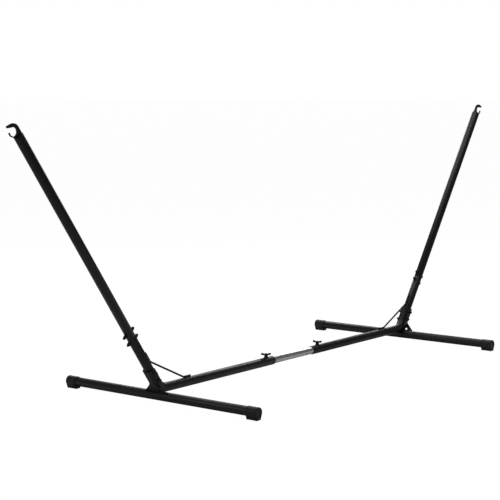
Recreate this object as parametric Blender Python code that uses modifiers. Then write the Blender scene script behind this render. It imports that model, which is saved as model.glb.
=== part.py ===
"""Steel hammock stand: two bolted arm frames on foot bars, joined by a telescoping beam.

Metres, +Z up. X runs along the beam, Y along the foot bars. The origin is on the floor, in the
middle of the stand. One half is built at +X, and the other is the same half turned about Z.
Every piece is one closed body. Pieces that touch keep CONTACT_GAP between them.
"""
import math
import bmesh
import bpy
from mathutils import Matrix, Vector

# ---------------------------------------------------------------- overall sizes
BAR_SPACING = 1.750         # from one foot bar's axis to the other's
BAR_LENGTH = 1.013          # one foot bar's tube, without its end caps
BAR_AXIS_HEIGHT = 0.030     # foot bar axis above the floor
ARM_ANGLE = math.radians(55.5)      # an arm's slope above the horizontal
HOOK_STATION = 1.278        # hook throat's centre, measured up the arm from the corner

# ---------------------------------------------------------------- tubes
TUBE_RADIUS = 0.019
TUBE_WALL = 0.0012
BUSH_WALL = 0.0012          # plastic between the outer tube and the inner one
INNER_WALL = 0.0012
INNER_LENGTH = 0.700
BEND_RADIUS = 0.080         # centre line radius of the corner tube's bend
CORNER_INSET = 0.005        # the corner lies this far inboard of the foot bar's axis
SPIGOT_WALL = 0.0015
SPIGOT_LENGTH = 0.090
ARM_JOINT_STATION = 0.282   # where the arm tube meets the corner tube

# ---------------------------------------------------------------- telescoping beam
MOUTH_X = 0.146             # outer tube's mouth, from the middle of the stand
BUSH_INSERT = 0.024
BUSH_LIP = 0.004
CLAMP_SETBACK = 0.041       # clamp screw's axis, from the mouth

# ---------------------------------------------------------------- clamp screw and wing knob
SCREW_RADIUS = 0.004
CLAMP_NUT_RADIUS = 0.0085
CLAMP_NUT_RISE = 0.005      # how far the welded nut stands above its tube
KNOB_LIFT = 0.001           # daylight between the nut and the knob
KNOB_HUB_RADIUS = 0.0082
KNOB_HUB_HEIGHT = 0.0125
KNOB_HALF_SPAN = 0.022
KNOB_TIP_RADIUS = 0.0050
KNOB_TIP_HEIGHT = 0.0095
KNOB_THICKNESS = 0.0076
KNOB_SOCKET_DEPTH = 0.0075
KNOB_TURNS = {"left": math.radians(129.0), "right": math.radians(104.0)}  # wings at rest

# ---------------------------------------------------------------- bracket
BRACKET_PLATE = 0.003
BRACKET_FOLD_RADIUS = 0.011         # inside radius where the back turns into a cheek
BRACKET_TOP_STATION = 0.110
BRACKET_CHEEK_REACH = 0.012         # how far the cheeks reach past the arm's axis
BRACKET_CHEEK_FOOT = 0.018          # station where a cheek's free edge turns to the foot bar
BRACKET_FLARE_TOP = 0.048           # station where the flare starts to spread
BRACKET_FLARE_FOOT = 0.004          # station where the flare is at full width
BRACKET_FLARE_SPREAD = 0.0357       # flare's reach past each cheek
BRACKET_HOLE_RADIUS = 0.0058
BRACKET_HOLE_STATION = 0.0085
BRACKET_HOLE_OFFSET = 0.022         # hole's centre, beside the arm
BRACKET_HOLE_SIDES = {"left": 1, "right": -1}

# ---------------------------------------------------------------- brace rod
BRACE_RADIUS = 0.004
BRACE_ARM_TOP = 0.174       # station of the upper welded end
BRACE_ARM_BEND = 0.125
BRACE_BEAM_BEND = 0.148     # from the foot bar's axis, inboard
BRACE_BEAM_END = 0.190
BRACE_BEND_RADIUS = 0.014

# ---------------------------------------------------------------- fasteners
BOLT_RADIUS = 0.004
BOLT_CLEARANCE = 0.0004     # round each bolt in its holes
FLANGE_RADIUS = 0.0085
FLANGE_THICKNESS = 0.0016
DOME_RADIUS = 0.0066
HEAD_HEIGHT = 0.0128
NUT_HEIGHT = 0.0150
NUT_BORE_DEPTH = 0.0092
THREAD_ENGAGEMENT = 0.0082
ARM_BOLT_BELOW_JOINT = 0.018
ARM_BOLT_ABOVE_JOINT = 0.019
BASE_BOLT_ABOVE_BEND = 0.0079
BASE_BOLT_PITCH = 0.039
SADDLE_RADIUS = 0.0080
SADDLE_RISE = 0.0030        # saddle washer's flat face above the tube
RIVET_RADIUS = 0.0025
RIVET_HEAD_RADIUS = 0.0052
RIVET_HEAD_HEIGHT = 0.0026
RIVET_DEPTH = 0.022         # rivet's axis below the arm tube's end

# ---------------------------------------------------------------- hook
HOOK_THICKNESS = 0.007
HOOK_THROAT_RADIUS = 0.0165
HOOK_BLADE_WIDTH = 0.0140   # steel behind the throat
HOOK_BACK_INSET = 0.0005    # blade's back edge, inside the tube's face
HOOK_TIP_RADIUS = 0.0048
HOOK_TIP_X = 0.0110
HOOK_TIP_RISE = 0.0125      # tip's centre above the throat circle
HOOK_SPUR_THICKNESS = 0.0040
HOOK_SPUR_ANGLE = 20.0      # where the spur's tip ends, in degrees above square to the arm
HOOK_SPUR_ROOT_ANGLE = -52.0
HOOK_BASE_DEPTH = 0.0125    # arm tube's end below the throat circle
HOOK_COLLAR_HEIGHT = 0.0030
HOOK_PLUG_LENGTH = 0.0340

# ---------------------------------------------------------------- foot caps
CAP_WALL = 0.0022
CAP_SLEEVE = 0.0470         # length of tube the cap covers
CAP_END = 0.0052
CAP_PAD_HALF_WIDTH = 0.0130
CAP_EDGE_ROUND = 0.0022

# ---------------------------------------------------------------- fits and fineness
CONTACT_GAP = 0.0003
SADDLE_GAP = 0.0004
TUBE_SIDES = 24
BEND_STEPS = 9
FASTENER_SIDES = 12
HOLE_SIDES = 16
ROD_BEVEL_RESOLUTION = 3
WELD_DISTANCE = 0.00001
SHARP_ANGLE = math.radians(35.0)

# ---------------------------------------------------------------- sizes that follow
BAR_X = BAR_SPACING / 2
TUBE_BORE = TUBE_RADIUS - TUBE_WALL
BEND_TANGENT = BEND_RADIUS * math.tan(ARM_ANGLE / 2)
BEND_CENTRE_INSET = CORNER_INSET + BEND_TANGENT
# The bend rests on the foot bar: their axes are two tube radii and a gap apart there.
BEND_TO_BAR = BEND_RADIUS + 2 * TUBE_RADIUS + CONTACT_GAP
BEAM_RISE = math.sqrt(BEND_TO_BAR**2 - BEND_CENTRE_INSET**2) - BEND_RADIUS
BEAM_HEIGHT = BAR_AXIS_HEIGHT + BEAM_RISE
CORNER_X = BAR_X - CORNER_INSET
CLAMP_X = MOUTH_X + CLAMP_SETBACK
HOOK_BACK_RADIUS = HOOK_THROAT_RADIUS + HOOK_BLADE_WIDTH
HOOK_TIP_Z = HOOK_THROAT_RADIUS + HOOK_TIP_RISE
HOOK_BASE_DROP = HOOK_THROAT_RADIUS + HOOK_BASE_DEPTH
HOOK_OFFSET = HOOK_BACK_RADIUS + HOOK_BACK_INSET - TUBE_RADIUS
ARM_TUBE_END = HOOK_STATION - HOOK_BASE_DROP
BASE_BOLT_STATIONS = {"lower": BEND_TANGENT + BASE_BOLT_ABOVE_BEND,
                      "upper": BEND_TANGENT + BASE_BOLT_ABOVE_BEND + BASE_BOLT_PITCH}
BRACKET_INNER = TUBE_RADIUS + CONTACT_GAP
BRACKET_OUTER = BRACKET_INNER + BRACKET_PLATE
BRACKET_FLARE_HALF_WIDTH = BRACKET_OUTER + BRACKET_FLARE_SPREAD
BRACKET_BACK_HALF_WIDTH = BRACKET_INNER - BRACKET_FOLD_RADIUS
SADDLE_FACE = TUBE_RADIUS + SADDLE_GAP + SADDLE_RISE
INNER_RADIUS = TUBE_BORE - 2 * CONTACT_GAP - BUSH_WALL
BOLT_HOLE_RADIUS = BOLT_RADIUS + BOLT_CLEARANCE
RIVET_HOLE_RADIUS = RIVET_RADIUS + BOLT_CLEARANCE
ARM_BOLT_STATIONS = {"lower": ARM_JOINT_STATION - ARM_BOLT_BELOW_JOINT,
                     "upper": ARM_JOINT_STATION + ARM_BOLT_ABOVE_JOINT}

HALVES = {"left": math.pi, "right": 0.0}


# ================================================================ scene set-up
def clear_scene():
    """Remove every object, so that the file holds only this model."""
    for old in list(bpy.data.objects):
        bpy.data.objects.remove(old, do_unlink=True)


def new_collection(name):
    """Return an empty collection in the scene."""
    collection = bpy.data.collections.new(name)
    bpy.context.scene.collection.children.link(collection)
    return collection


clear_scene()
PARTS = new_collection("hammock_stand")
CUTTERS = new_collection("cutters")


def finish(name, colour, roughness, metallic):
    """Return one Principled material."""
    material = bpy.data.materials.new(name)
    material.use_nodes = True
    shader = material.node_tree.nodes["Principled BSDF"]
    shader.inputs["Base Color"].default_value = (*colour, 1.0)
    shader.inputs["Roughness"].default_value = roughness
    shader.inputs["Metallic"].default_value = metallic
    return material


POWDER_COAT = finish("black_powder_coat", (0.016, 0.016, 0.017), 0.38, 0.0)
ZINC = finish("bright_zinc_plate", (0.62, 0.64, 0.66), 0.24, 1.0)
MOULDED = finish("black_moulded_plastic", (0.012, 0.012, 0.013), 0.50, 0.0)
BLACKED_STEEL = finish("blacked_fastener", (0.020, 0.020, 0.021), 0.34, 0.6)


# ================================================================ frames
def shift(x=0.0, y=0.0, z=0.0):
    """Return a translation."""
    return Matrix.Translation((x, y, z))


def turn(angle, axis):
    """Return a rotation."""
    return Matrix.Rotation(angle, 4, axis)


def arm_frame(station=0.0):
    """Frame on the arm's axis: +Z runs up the arm and +X points down and outboard."""
    corner = shift(CORNER_X, 0.0, BEAM_HEIGHT)
    return corner @ turn(math.pi / 2 - ARM_ANGLE, "Y") @ shift(z=station)


def beam_frame(x=0.0):
    """Frame on the beam's axis: +Z points outboard along the beam."""
    return shift(x, 0.0, BEAM_HEIGHT) @ turn(math.pi / 2, "Y")


ACROSS = turn(math.pi / 2, "X")     # lays +Z along -Y
FLAT_XZ = turn(math.pi / 2, "X")    # stands an XY outline up, into XZ


# ================================================================ outlines
def arc(centre, radius, start, end, steps):
    """Points on an arc in degrees, both ends included."""
    points = []
    for step in range(steps + 1):
        angle = math.radians(start + (end - start) * step / steps)
        points.append((centre[0] + radius * math.cos(angle), centre[1] + radius * math.sin(angle)))
    return points


def rounded_path(corners, radius, steps):
    """Polyline through 3-D corners, each inner corner rounded to the radius."""
    path = [Vector(corners[0])]
    for before, corner, after in zip(corners, corners[1:], corners[2:]):
        corner = Vector(corner)
        back = (Vector(before) - corner).normalized()
        ahead = (Vector(after) - corner).normalized()
        half = back.angle(ahead) / 2
        tangent = radius / math.tan(half)
        centre = corner + (back + ahead).normalized() * radius / math.sin(half)
        spoke = corner + back * tangent - centre
        sweep = math.pi - 2 * half
        axis = spoke.cross(corner + ahead * tangent - centre)
        for step in range(steps + 1):
            path.append(centre + Matrix.Rotation(sweep * step / steps, 3, axis) @ spoke)
    path.append(Vector(corners[-1]))
    return path


# ================================================================ builders
def add_object(name, mesh, matrix, material=None, parent=None):
    """Put a mesh into the scene: a part if it has a material, else a cutter."""
    item = bpy.data.objects.new(name, mesh)
    if material is None:
        CUTTERS.objects.link(item)
        item.hide_render = True
        item.display_type = "WIRE"
    else:
        PARTS.objects.link(item)
        mesh.materials.clear()
        mesh.materials.append(material)
    if parent is not None:
        item.parent = parent
        item.matrix_parent_inverse = parent.matrix_world.inverted()
    item.matrix_world = matrix
    return item


def axis_empty(name, matrix, parent=None):
    """Return an empty that marks a joint's axis."""
    empty = bpy.data.objects.new(name, None)
    CUTTERS.objects.link(empty)
    empty.empty_display_size = 0.03
    if parent is not None:
        empty.parent = parent
        empty.matrix_parent_inverse = parent.matrix_world.inverted()
    empty.matrix_world = matrix
    bpy.context.view_layer.update()
    return empty


def cylinder_mesh(name, radius, low, high, sides, capped=True):
    """A cylinder on Z from low to high. Its flats, not its corners, lie at the top."""
    mesh = bpy.data.meshes.new(name)
    bm = bmesh.new()
    bmesh.ops.create_cone(bm, cap_ends=capped, segments=sides, radius1=radius, radius2=radius,
                          depth=high - low)
    bmesh.ops.translate(bm, verts=bm.verts, vec=(0.0, 0.0, (high + low) / 2))
    bm.to_mesh(mesh)
    bm.free()
    return mesh


def baked(item):
    """Return the object's evaluated mesh with its loose seams welded."""
    bpy.context.view_layer.update()
    graph = bpy.context.evaluated_depsgraph_get()
    mesh = bpy.data.meshes.new_from_object(item.evaluated_get(graph))
    bm = bmesh.new()
    bm.from_mesh(mesh)
    bmesh.ops.remove_doubles(bm, verts=bm.verts, dist=WELD_DISTANCE)
    bmesh.ops.recalc_face_normals(bm, faces=bm.faces)
    bm.to_mesh(mesh)
    bm.free()
    return mesh


def flat_mesh(name, outline, thickness):
    """A flat outline in XY, given its thickness about Z = 0."""
    curve = bpy.data.curves.new(name, "CURVE")
    curve.dimensions = "2D"
    curve.fill_mode = "BOTH"
    curve.extrude = thickness / 2
    spline = curve.splines.new("POLY")
    spline.points.add(len(outline) - 1)
    for point, (x, y) in zip(spline.points, outline):
        point.co = (x, y, 0.0, 1.0)
    spline.use_cyclic_u = True
    return curve_to_mesh(name, curve)


def curve_to_mesh(name, curve):
    """Return the curve as a welded mesh, and drop the curve."""
    item = bpy.data.objects.new(name, curve)
    CUTTERS.objects.link(item)
    mesh = baked(item)
    bpy.data.objects.remove(item, do_unlink=True)
    bpy.data.curves.remove(curve)
    return mesh


def path_curve(name, path, radius, resolution, capped):
    """Round bar or skin along a polyline."""
    curve = bpy.data.curves.new(name, "CURVE")
    curve.dimensions = "3D"
    curve.bevel_depth = radius
    curve.bevel_resolution = resolution
    curve.use_fill_caps = capped
    spline = curve.splines.new("POLY")
    spline.points.add(len(path) - 1)
    for point, place in zip(spline.points, path):
        point.co = (*place, 1.0)
    return curve


def turned(name, profile, matrix, material, closed=False, sides=FASTENER_SIDES, parent=None):
    """Turn a profile of (radius, height), listed from the top down its outer side, about Z."""
    mesh = bpy.data.meshes.new(name)
    bm = bmesh.new()
    corners = [bm.verts.new((radius, 0.0, height)) for radius, height in profile]
    for start, end in zip(corners, corners[1:]):
        bm.edges.new((start, end))
    if closed:
        bm.edges.new((corners[-1], corners[0]))
    bm.to_mesh(mesh)
    bm.free()
    item = add_object(name, mesh, matrix, material, parent)
    screw = item.modifiers.new("turn", "SCREW")
    screw.axis = "Z"
    screw.steps = sides
    screw.render_steps = sides
    screw.use_merge_vertices = True
    screw.merge_threshold = WELD_DISTANCE
    screw.use_smooth_shade = True
    return item


def give_wall(item, wall):
    """Thicken an open skin inwards."""
    solidify = item.modifiers.new("wall", "SOLIDIFY")
    solidify.thickness = wall
    solidify.offset = -1.0
    solidify.use_even_offset = True


def straight_tube(name, radius, wall, low, high, matrix, material, parent=None):
    """An open round tube on Z from low to high."""
    mesh = cylinder_mesh(name, radius, low, high, TUBE_SIDES, capped=False)
    item = add_object(name, mesh, matrix, material, parent)
    give_wall(item, wall)
    return item


def round_edges(item, width, segments):
    """Round the object's sharp edges."""
    bevel = item.modifiers.new("rounded_edges", "BEVEL")
    bevel.width = width
    bevel.segments = segments
    bevel.limit_method = "ANGLE"
    bevel.angle_limit = math.radians(40.0)


def boolean(item, tool, operation):
    """Cut the item with the tool, or join the tool to it."""
    step = item.modifiers.new(tool.name, "BOOLEAN")
    step.operation = operation
    step.solver = "EXACT"
    step.object = tool


def cut(item, *tools):
    """Cut each tool out of the item."""
    for tool in tools:
        boolean(item, tool, "DIFFERENCE")


def join(item, tool):
    """Join the tool to the item."""
    boolean(item, tool, "UNION")


def hole_tool(name, radius, low, high, matrix, sides=HOLE_SIDES):
    """A cylinder to cut with, on the matrix's Z axis."""
    return add_object(name, cylinder_mesh(name, radius, low, high, sides), matrix)


def smooth_rounds(item):
    """Shade round faces smooth and keep true corners sharp."""
    item.data.shade_smooth()
    item.data.set_sharp_from_angle(angle=SHARP_ANGLE)


# ================================================================ foot bar and its caps
def cap_outline():
    """End view of a foot cap: a round sleeve drawn down to a flat pad."""
    radius = TUBE_RADIUS + CONTACT_GAP + CAP_WALL
    drop = BAR_AXIS_HEIGHT
    corner_angle = math.degrees(math.atan2(-drop, CAP_PAD_HALF_WIDTH))
    reach = math.hypot(drop, CAP_PAD_HALF_WIDTH)
    tangent_angle = corner_angle + math.degrees(math.acos(radius / reach))
    outline = arc((0.0, 0.0), radius, tangent_angle, 180.0 - tangent_angle, 20)
    return outline + [(-CAP_PAD_HALF_WIDTH, -drop), (CAP_PAD_HALF_WIDTH, -drop)]


def foot_cap(name, side, half, parent):
    """Moulded cap on one end of a foot bar, with the pad that stands on the floor."""
    length = CAP_SLEEVE + CAP_END
    bar_end = BAR_LENGTH / 2 + CONTACT_GAP
    middle = side * (bar_end + CAP_END - length / 2)
    place = half @ shift(BAR_X, middle, BAR_AXIS_HEIGHT)
    cap = add_object(name, flat_mesh(name, cap_outline(), length), place @ FLAT_XZ, MOULDED, parent)
    round_edges(cap, CAP_EDGE_ROUND, 2)
    bore = hole_tool(name + "_bore", TUBE_RADIUS + CONTACT_GAP, -length, 0.0,
                     half @ shift(BAR_X, side * bar_end, BAR_AXIS_HEIGHT)
                     @ turn(-side * math.pi / 2, "X"), TUBE_SIDES)
    cut(cap, bore)
    return cap


def foot_bar(half_name, half, parent):
    """Foot bar with a cap at each end."""
    half_length = BAR_LENGTH / 2
    bar = straight_tube(half_name + "_foot_bar", TUBE_RADIUS, TUBE_WALL, -half_length, half_length,
                        half @ shift(BAR_X, 0.0, BAR_AXIS_HEIGHT) @ ACROSS, POWDER_COAT, parent)
    back = 1 if half_name == "right" else -1
    foot_cap(half_name + "_foot_cap_front", -back, half, parent)
    foot_cap(half_name + "_foot_cap_back", back, half, parent)
    return bar


# ================================================================ fasteners
def dome_profile(height, radius, base):
    """Outer side of a domed head, from its top to its flange's underside."""
    shoulder = height - radius * 0.78
    crown = [(0.0, height)]
    for x, z in arc((0.0, 0.0), 1.0, 62.0, 0.0, 3):
        crown.append((radius * x, shoulder + (height - shoulder) * z))
    return crown + [(radius, base), (FLANGE_RADIUS, base), (FLANGE_RADIUS, 0.0)]


def bolt(name, grip, matrix, parent):
    """Dome-headed bolt on Z. The head sits above z = 0, and the grip is the stack below it."""
    tip = -(grip + THREAD_ENGAGEMENT)
    profile = dome_profile(HEAD_HEIGHT, DOME_RADIUS, FLANGE_THICKNESS)
    profile += [(BOLT_RADIUS, 0.0), (BOLT_RADIUS, tip), (0.0, tip)]
    smooth_rounds(turned(name, profile, matrix, BLACKED_STEEL, parent=parent))


def dome_nut(name, matrix, parent):
    """Dome nut on Z, with its blind bore open at z = 0."""
    bore = BOLT_RADIUS + CONTACT_GAP
    profile = dome_profile(NUT_HEIGHT, DOME_RADIUS, FLANGE_THICKNESS)
    profile += [(bore, 0.0), (bore, NUT_BORE_DEPTH), (0.0, NUT_BORE_DEPTH)]
    smooth_rounds(turned(name, profile, matrix, BLACKED_STEEL, parent=parent))


def bolt_and_nut(prefix, place, across, face, parent):
    """Bolt and dome nut through a stack whose outer faces lie at +face and -face."""
    seat = face + CONTACT_GAP
    bolt(prefix + "_bolt", 2 * seat, place @ across @ shift(z=seat), parent)
    dome_nut(prefix + "_nut", place @ across @ turn(math.pi, "X") @ shift(z=seat), parent)


def saddle_washer(name, place, matrix, tube_tool, bolt_tool, parent):
    """Round washer with one face hollowed to fit the tube."""
    low = TUBE_RADIUS - SADDLE_RISE
    mesh = cylinder_mesh(name, SADDLE_RADIUS, low, SADDLE_FACE, HOLE_SIDES)
    washer = add_object(name, mesh, place @ matrix, MOULDED, parent)
    cut(washer, tube_tool, bolt_tool)


# ================================================================ arm frame
def corner_tube(half_name, half, parent):
    """Lower arm and outer beam tube, bent from one length of tube."""
    arm = arm_frame(ARM_JOINT_STATION - CONTACT_GAP / 2).translation
    corner = arm_frame().translation
    mouth = beam_frame(MOUTH_X).translation
    path = rounded_path([arm, corner, mouth], BEND_RADIUS, BEND_STEPS)
    curve = path_curve("corner_skin", path, TUBE_RADIUS, TUBE_SIDES // 2 - 2, capped=False)
    name = half_name + "_corner_tube"
    tube = add_object(name, curve_to_mesh(name, curve), half, POWDER_COAT, parent)
    give_wall(tube, TUBE_WALL)
    return tube


def arm_tube(half_name, half, parent):
    """Upper arm tube, from the bolted joint to the hook."""
    low = ARM_JOINT_STATION + CONTACT_GAP / 2
    return straight_tube(half_name + "_arm_tube", TUBE_RADIUS, TUBE_WALL, low, ARM_TUBE_END,
                         half @ arm_frame(), POWDER_COAT, parent)


def spigot(half_name, half, parent):
    """Short sleeve inside the bolted joint."""
    radius = TUBE_BORE - CONTACT_GAP
    low = ARM_JOINT_STATION - SPIGOT_LENGTH / 2
    return straight_tube(half_name + "_joint_spigot", radius, SPIGOT_WALL, low,
                         low + SPIGOT_LENGTH, half @ arm_frame(), POWDER_COAT, parent)


def brace_rod(half_name, half, parent):
    """Round rod welded between the arm and the beam, with a flat foot at each end."""
    offset = TUBE_RADIUS + BRACE_RADIUS + CONTACT_GAP
    beam_z = BEAM_HEIGHT + offset
    corners = [(arm_frame(BRACE_ARM_TOP) @ shift(-offset)).translation,
               (arm_frame(BRACE_ARM_BEND) @ shift(-offset)).translation,
               Vector((BAR_X - BRACE_BEAM_BEND, 0.0, beam_z)),
               Vector((BAR_X - BRACE_BEAM_END, 0.0, beam_z))]
    path = rounded_path(corners, BRACE_BEND_RADIUS, 4)
    name = half_name + "_brace_rod"
    curve = path_curve("brace_skin", path, BRACE_RADIUS, ROD_BEVEL_RESOLUTION, capped=True)
    rod = add_object(name, curve_to_mesh(name, curve), half, POWDER_COAT, parent)
    smooth_rounds(rod)


# ================================================================ bracket
def cheek_outline():
    """Channel section, across the arm: two cheeks folded off a back, open on the inboard side."""
    reach = -BRACKET_CHEEK_REACH
    flat = BRACKET_BACK_HALF_WIDTH
    inner = BRACKET_FOLD_RADIUS
    outer = BRACKET_FOLD_RADIUS + BRACKET_PLATE
    outline = [(reach, BRACKET_OUTER)]
    outline += arc((flat, flat), outer, 90.0, 0.0, 6)
    outline += arc((flat, -flat), outer, 0.0, -90.0, 6)
    outline += [(reach, -BRACKET_OUTER), (reach, -BRACKET_INNER)]
    outline += arc((flat, -flat), inner, -90.0, 0.0, 6)
    outline += arc((flat, flat), inner, 0.0, 90.0, 6)
    return outline + [(reach, BRACKET_INNER)]


def flare_outline():
    """Back plate of the bracket, spread along the foot bar, as (width, station)."""
    half = BRACKET_FLARE_HALF_WIDTH
    foot = BRACKET_FLARE_FOOT - TUBE_RADIUS
    neck = BRACKET_BACK_HALF_WIDTH + BRACKET_PLATE
    return [(-half, foot), (half, foot), (half, BRACKET_FLARE_FOOT),
            (neck, BRACKET_FLARE_TOP), (-neck, BRACKET_FLARE_TOP),
            (-half, BRACKET_FLARE_FOOT)]


def bracket(half_name, half, tools, parent):
    """Pressed bracket: a leaning channel around the arm on a foot flared along the foot bar."""
    name = half_name + "_bracket"
    low = BRACKET_FLARE_FOOT - TUBE_RADIUS
    length = BRACKET_TOP_STATION - low
    frame = half @ arm_frame()
    channel = add_object(name, flat_mesh(name, cheek_outline(), length),
                         frame @ shift(z=low + length / 2), POWDER_COAT, parent)
    stand_up = Matrix(((0, 0, 1, 0), (1, 0, 0, 0), (0, 1, 0, 0), (0, 0, 0, 1)))
    flare_x = BRACKET_INNER + BRACKET_PLATE / 2
    flare = add_object(name + "_flare", flat_mesh(name + "_flare", flare_outline(), BRACKET_PLATE),
                       frame @ shift(flare_x) @ stand_up)
    join(channel, flare)
    foot_cut = add_object(name + "_foot_cut",
                          cylinder_mesh(name + "_foot_cut", TUBE_RADIUS + CONTACT_GAP,
                                        -2 * BRACKET_FLARE_HALF_WIDTH,
                                        2 * BRACKET_FLARE_HALF_WIDTH, 2 * TUBE_SIDES),
                          half @ shift(BAR_X, 0.0, BAR_AXIS_HEIGHT) @ ACROSS)
    cut(channel, foot_cut, trim_tool(name, frame), *tools)
    beside = BRACKET_HOLE_SIDES[half_name] * BRACKET_HOLE_OFFSET
    place = frame @ shift(0.0, beside, BRACKET_HOLE_STATION) @ turn(math.pi / 2, "Y")
    hole = hole_tool(name + "_hole", BRACKET_HOLE_RADIUS, BRACKET_INNER - BRACKET_PLATE / 10,
                     2 * BRACKET_OUTER, place)
    cut(channel, hole)
    return channel


def trim_tool(name, frame):
    """Wedge that trims the cheeks' lower inboard corners and what would hang below the bar."""
    reach = BRACKET_CHEEK_REACH
    deep = 4 * TUBE_RADIUS
    outline = [(-reach - deep, BRACKET_CHEEK_FOOT), (-reach, BRACKET_CHEEK_FOOT),
               (TUBE_RADIUS / 2, -TUBE_RADIUS), (2 * deep, -TUBE_RADIUS),
               (2 * deep, -deep), (-reach - deep, -deep)]
    mesh = flat_mesh(name + "_trim", outline, 4 * BRACKET_FLARE_HALF_WIDTH)
    return add_object(name + "_trim", mesh, frame @ FLAT_XZ)


# ================================================================ hook
def hook_outline():
    """Side view of the hook about its throat's centre: +X is outboard, +Y up the arm."""
    back = -HOOK_BACK_RADIUS
    base = HOOK_COLLAR_HEIGHT / 2 - HOOK_BASE_DROP
    outline = [(back, base)]
    outline += arc((0.0, 0.0), HOOK_BACK_RADIUS, 180.0, 112.0, 7)
    outline += arc((HOOK_TIP_X, HOOK_TIP_Z), HOOK_TIP_RADIUS, 103.0, -59.0, 6)
    outline += arc((0.0, 0.0), HOOK_THROAT_RADIUS, 104.0, 360.0 + HOOK_SPUR_ANGLE, 20)[:-1]
    spur_tip = arc((0.0, 0.0), HOOK_THROAT_RADIUS + HOOK_SPUR_THICKNESS / 2, HOOK_SPUR_ANGLE,
                   HOOK_SPUR_ANGLE, 1)[0]
    outline += arc(spur_tip, HOOK_SPUR_THICKNESS / 2, HOOK_SPUR_ANGLE + 180.0, HOOK_SPUR_ANGLE, 4)
    outline += arc((0.0, 0.0), HOOK_THROAT_RADIUS + HOOK_SPUR_THICKNESS, HOOK_SPUR_ANGLE,
                   HOOK_SPUR_ROOT_ANGLE, 6)[1:]
    return outline + [(TUBE_RADIUS - HOOK_OFFSET, base)]


def hook(half_name, half, rivet_tool, parent):
    """Flat hook on a round collar, with a plug that fills the arm tube's end."""
    name = half_name + "_hook"
    end = ARM_TUBE_END + CONTACT_GAP
    plug = TUBE_BORE - CONTACT_GAP
    frame = half @ arm_frame()
    profile = [(0.0, end + HOOK_COLLAR_HEIGHT), (TUBE_RADIUS - 0.001, end + HOOK_COLLAR_HEIGHT),
               (TUBE_RADIUS, end + HOOK_COLLAR_HEIGHT - 0.001), (TUBE_RADIUS, end),
               (plug, end), (plug, end - HOOK_PLUG_LENGTH), (0.0, end - HOOK_PLUG_LENGTH)]
    base = turned(name, profile, frame, POWDER_COAT, sides=TUBE_SIDES, parent=parent)
    blade = add_object(name + "_blade", flat_mesh(name + "_blade", hook_outline(), HOOK_THICKNESS),
                       frame @ shift(HOOK_OFFSET, 0.0, HOOK_STATION) @ FLAT_XZ)
    join(base, blade)
    cut(base, rivet_tool)
    smooth_rounds(base)


def hook_rivet(half_name, half, parent):
    """Rivet through the arm tube and the hook's plug, with a round head at each end."""
    seat = TUBE_RADIUS + CONTACT_GAP
    profile = [(0.0, seat + RIVET_HEAD_HEIGHT)]
    for x, z in arc((0.0, 0.0), 1.0, 55.0, 0.0, 2):
        profile.append((RIVET_HEAD_RADIUS * x, seat + RIVET_HEAD_HEIGHT * z))
    profile.append((RIVET_RADIUS, seat))
    lower = [(radius, -height) for radius, height in reversed(profile)]
    place = half @ arm_frame(ARM_TUBE_END - RIVET_DEPTH) @ ACROSS
    smooth_rounds(turned(half_name + "_hook_rivet", profile + lower, place, BLACKED_STEEL,
                         parent=parent))


# ================================================================ telescoping joint
def mouth_bush(half_name, half, parent):
    """Plastic bush in the outer tube's mouth, with a lip over the tube's end."""
    bore = INNER_RADIUS + CONTACT_GAP
    outer = TUBE_BORE - CONTACT_GAP
    chamfer = BUSH_LIP / 3
    profile = [(bore, BUSH_INSERT), (outer, BUSH_INSERT), (outer, -CONTACT_GAP),
               (TUBE_RADIUS, -CONTACT_GAP), (TUBE_RADIUS, chamfer - BUSH_LIP),
               (TUBE_RADIUS - chamfer, -BUSH_LIP), (bore, -BUSH_LIP)]
    bush = turned(half_name + "_mouth_bush", profile, half @ beam_frame(MOUTH_X), MOULDED,
                  closed=True, sides=TUBE_SIDES, parent=parent)
    smooth_rounds(bush)


def clamp_nut(half_name, half, parent):
    """Round nut welded on top of the outer tube, threaded for the clamp screw."""
    name = half_name + "_clamp_nut"
    place = half @ shift(CLAMP_X, 0.0, BEAM_HEIGHT)
    top = TUBE_RADIUS + CLAMP_NUT_RISE
    low = TUBE_RADIUS - CLAMP_NUT_RADIUS / 3
    mesh = cylinder_mesh(name, CLAMP_NUT_RADIUS, low, top, HOLE_SIDES)
    nut = add_object(name, mesh, place, POWDER_COAT, parent)
    saddle = add_object(name + "_saddle",
                        cylinder_mesh(name + "_saddle", TUBE_RADIUS + SADDLE_GAP,
                                      -3 * CLAMP_NUT_RADIUS, 3 * CLAMP_NUT_RADIUS, 2 * TUBE_SIDES),
                        half @ beam_frame(CLAMP_X))
    bore = hole_tool(name + "_bore", SCREW_RADIUS + CONTACT_GAP, 0.0, 2 * top, place)
    cut(nut, saddle, bore)
    return nut


def clamp_screw(half_name, half, parent):
    """Threaded stud that presses on the inner tube."""
    tip = INNER_RADIUS + CONTACT_GAP
    top = TUBE_RADIUS + CLAMP_NUT_RISE + KNOB_LIFT + KNOB_SOCKET_DEPTH - CONTACT_GAP
    place = half @ shift(CLAMP_X, 0.0, BEAM_HEIGHT)
    mesh = cylinder_mesh(half_name + "_clamp_screw", SCREW_RADIUS, tip, top, FASTENER_SIDES)
    smooth_rounds(add_object(half_name + "_clamp_screw", mesh, place, BLACKED_STEEL, parent))


def wing_outline():
    """Front view of the wing knob: two wings that rise from the hub to round tips."""
    neck = KNOB_HUB_RADIUS * 0.7
    tip_x = KNOB_HALF_SPAN - KNOB_TIP_RADIUS
    right = arc((tip_x, KNOB_TIP_HEIGHT), KNOB_TIP_RADIUS, -100.0, 110.0, 7)
    half = [(neck, KNOB_SOCKET_DEPTH * 0.75)] + right
    left = [(-x, y) for x, y in reversed(half)]
    return half + [(0.0, KNOB_HUB_HEIGHT - 0.001)] + left


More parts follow.
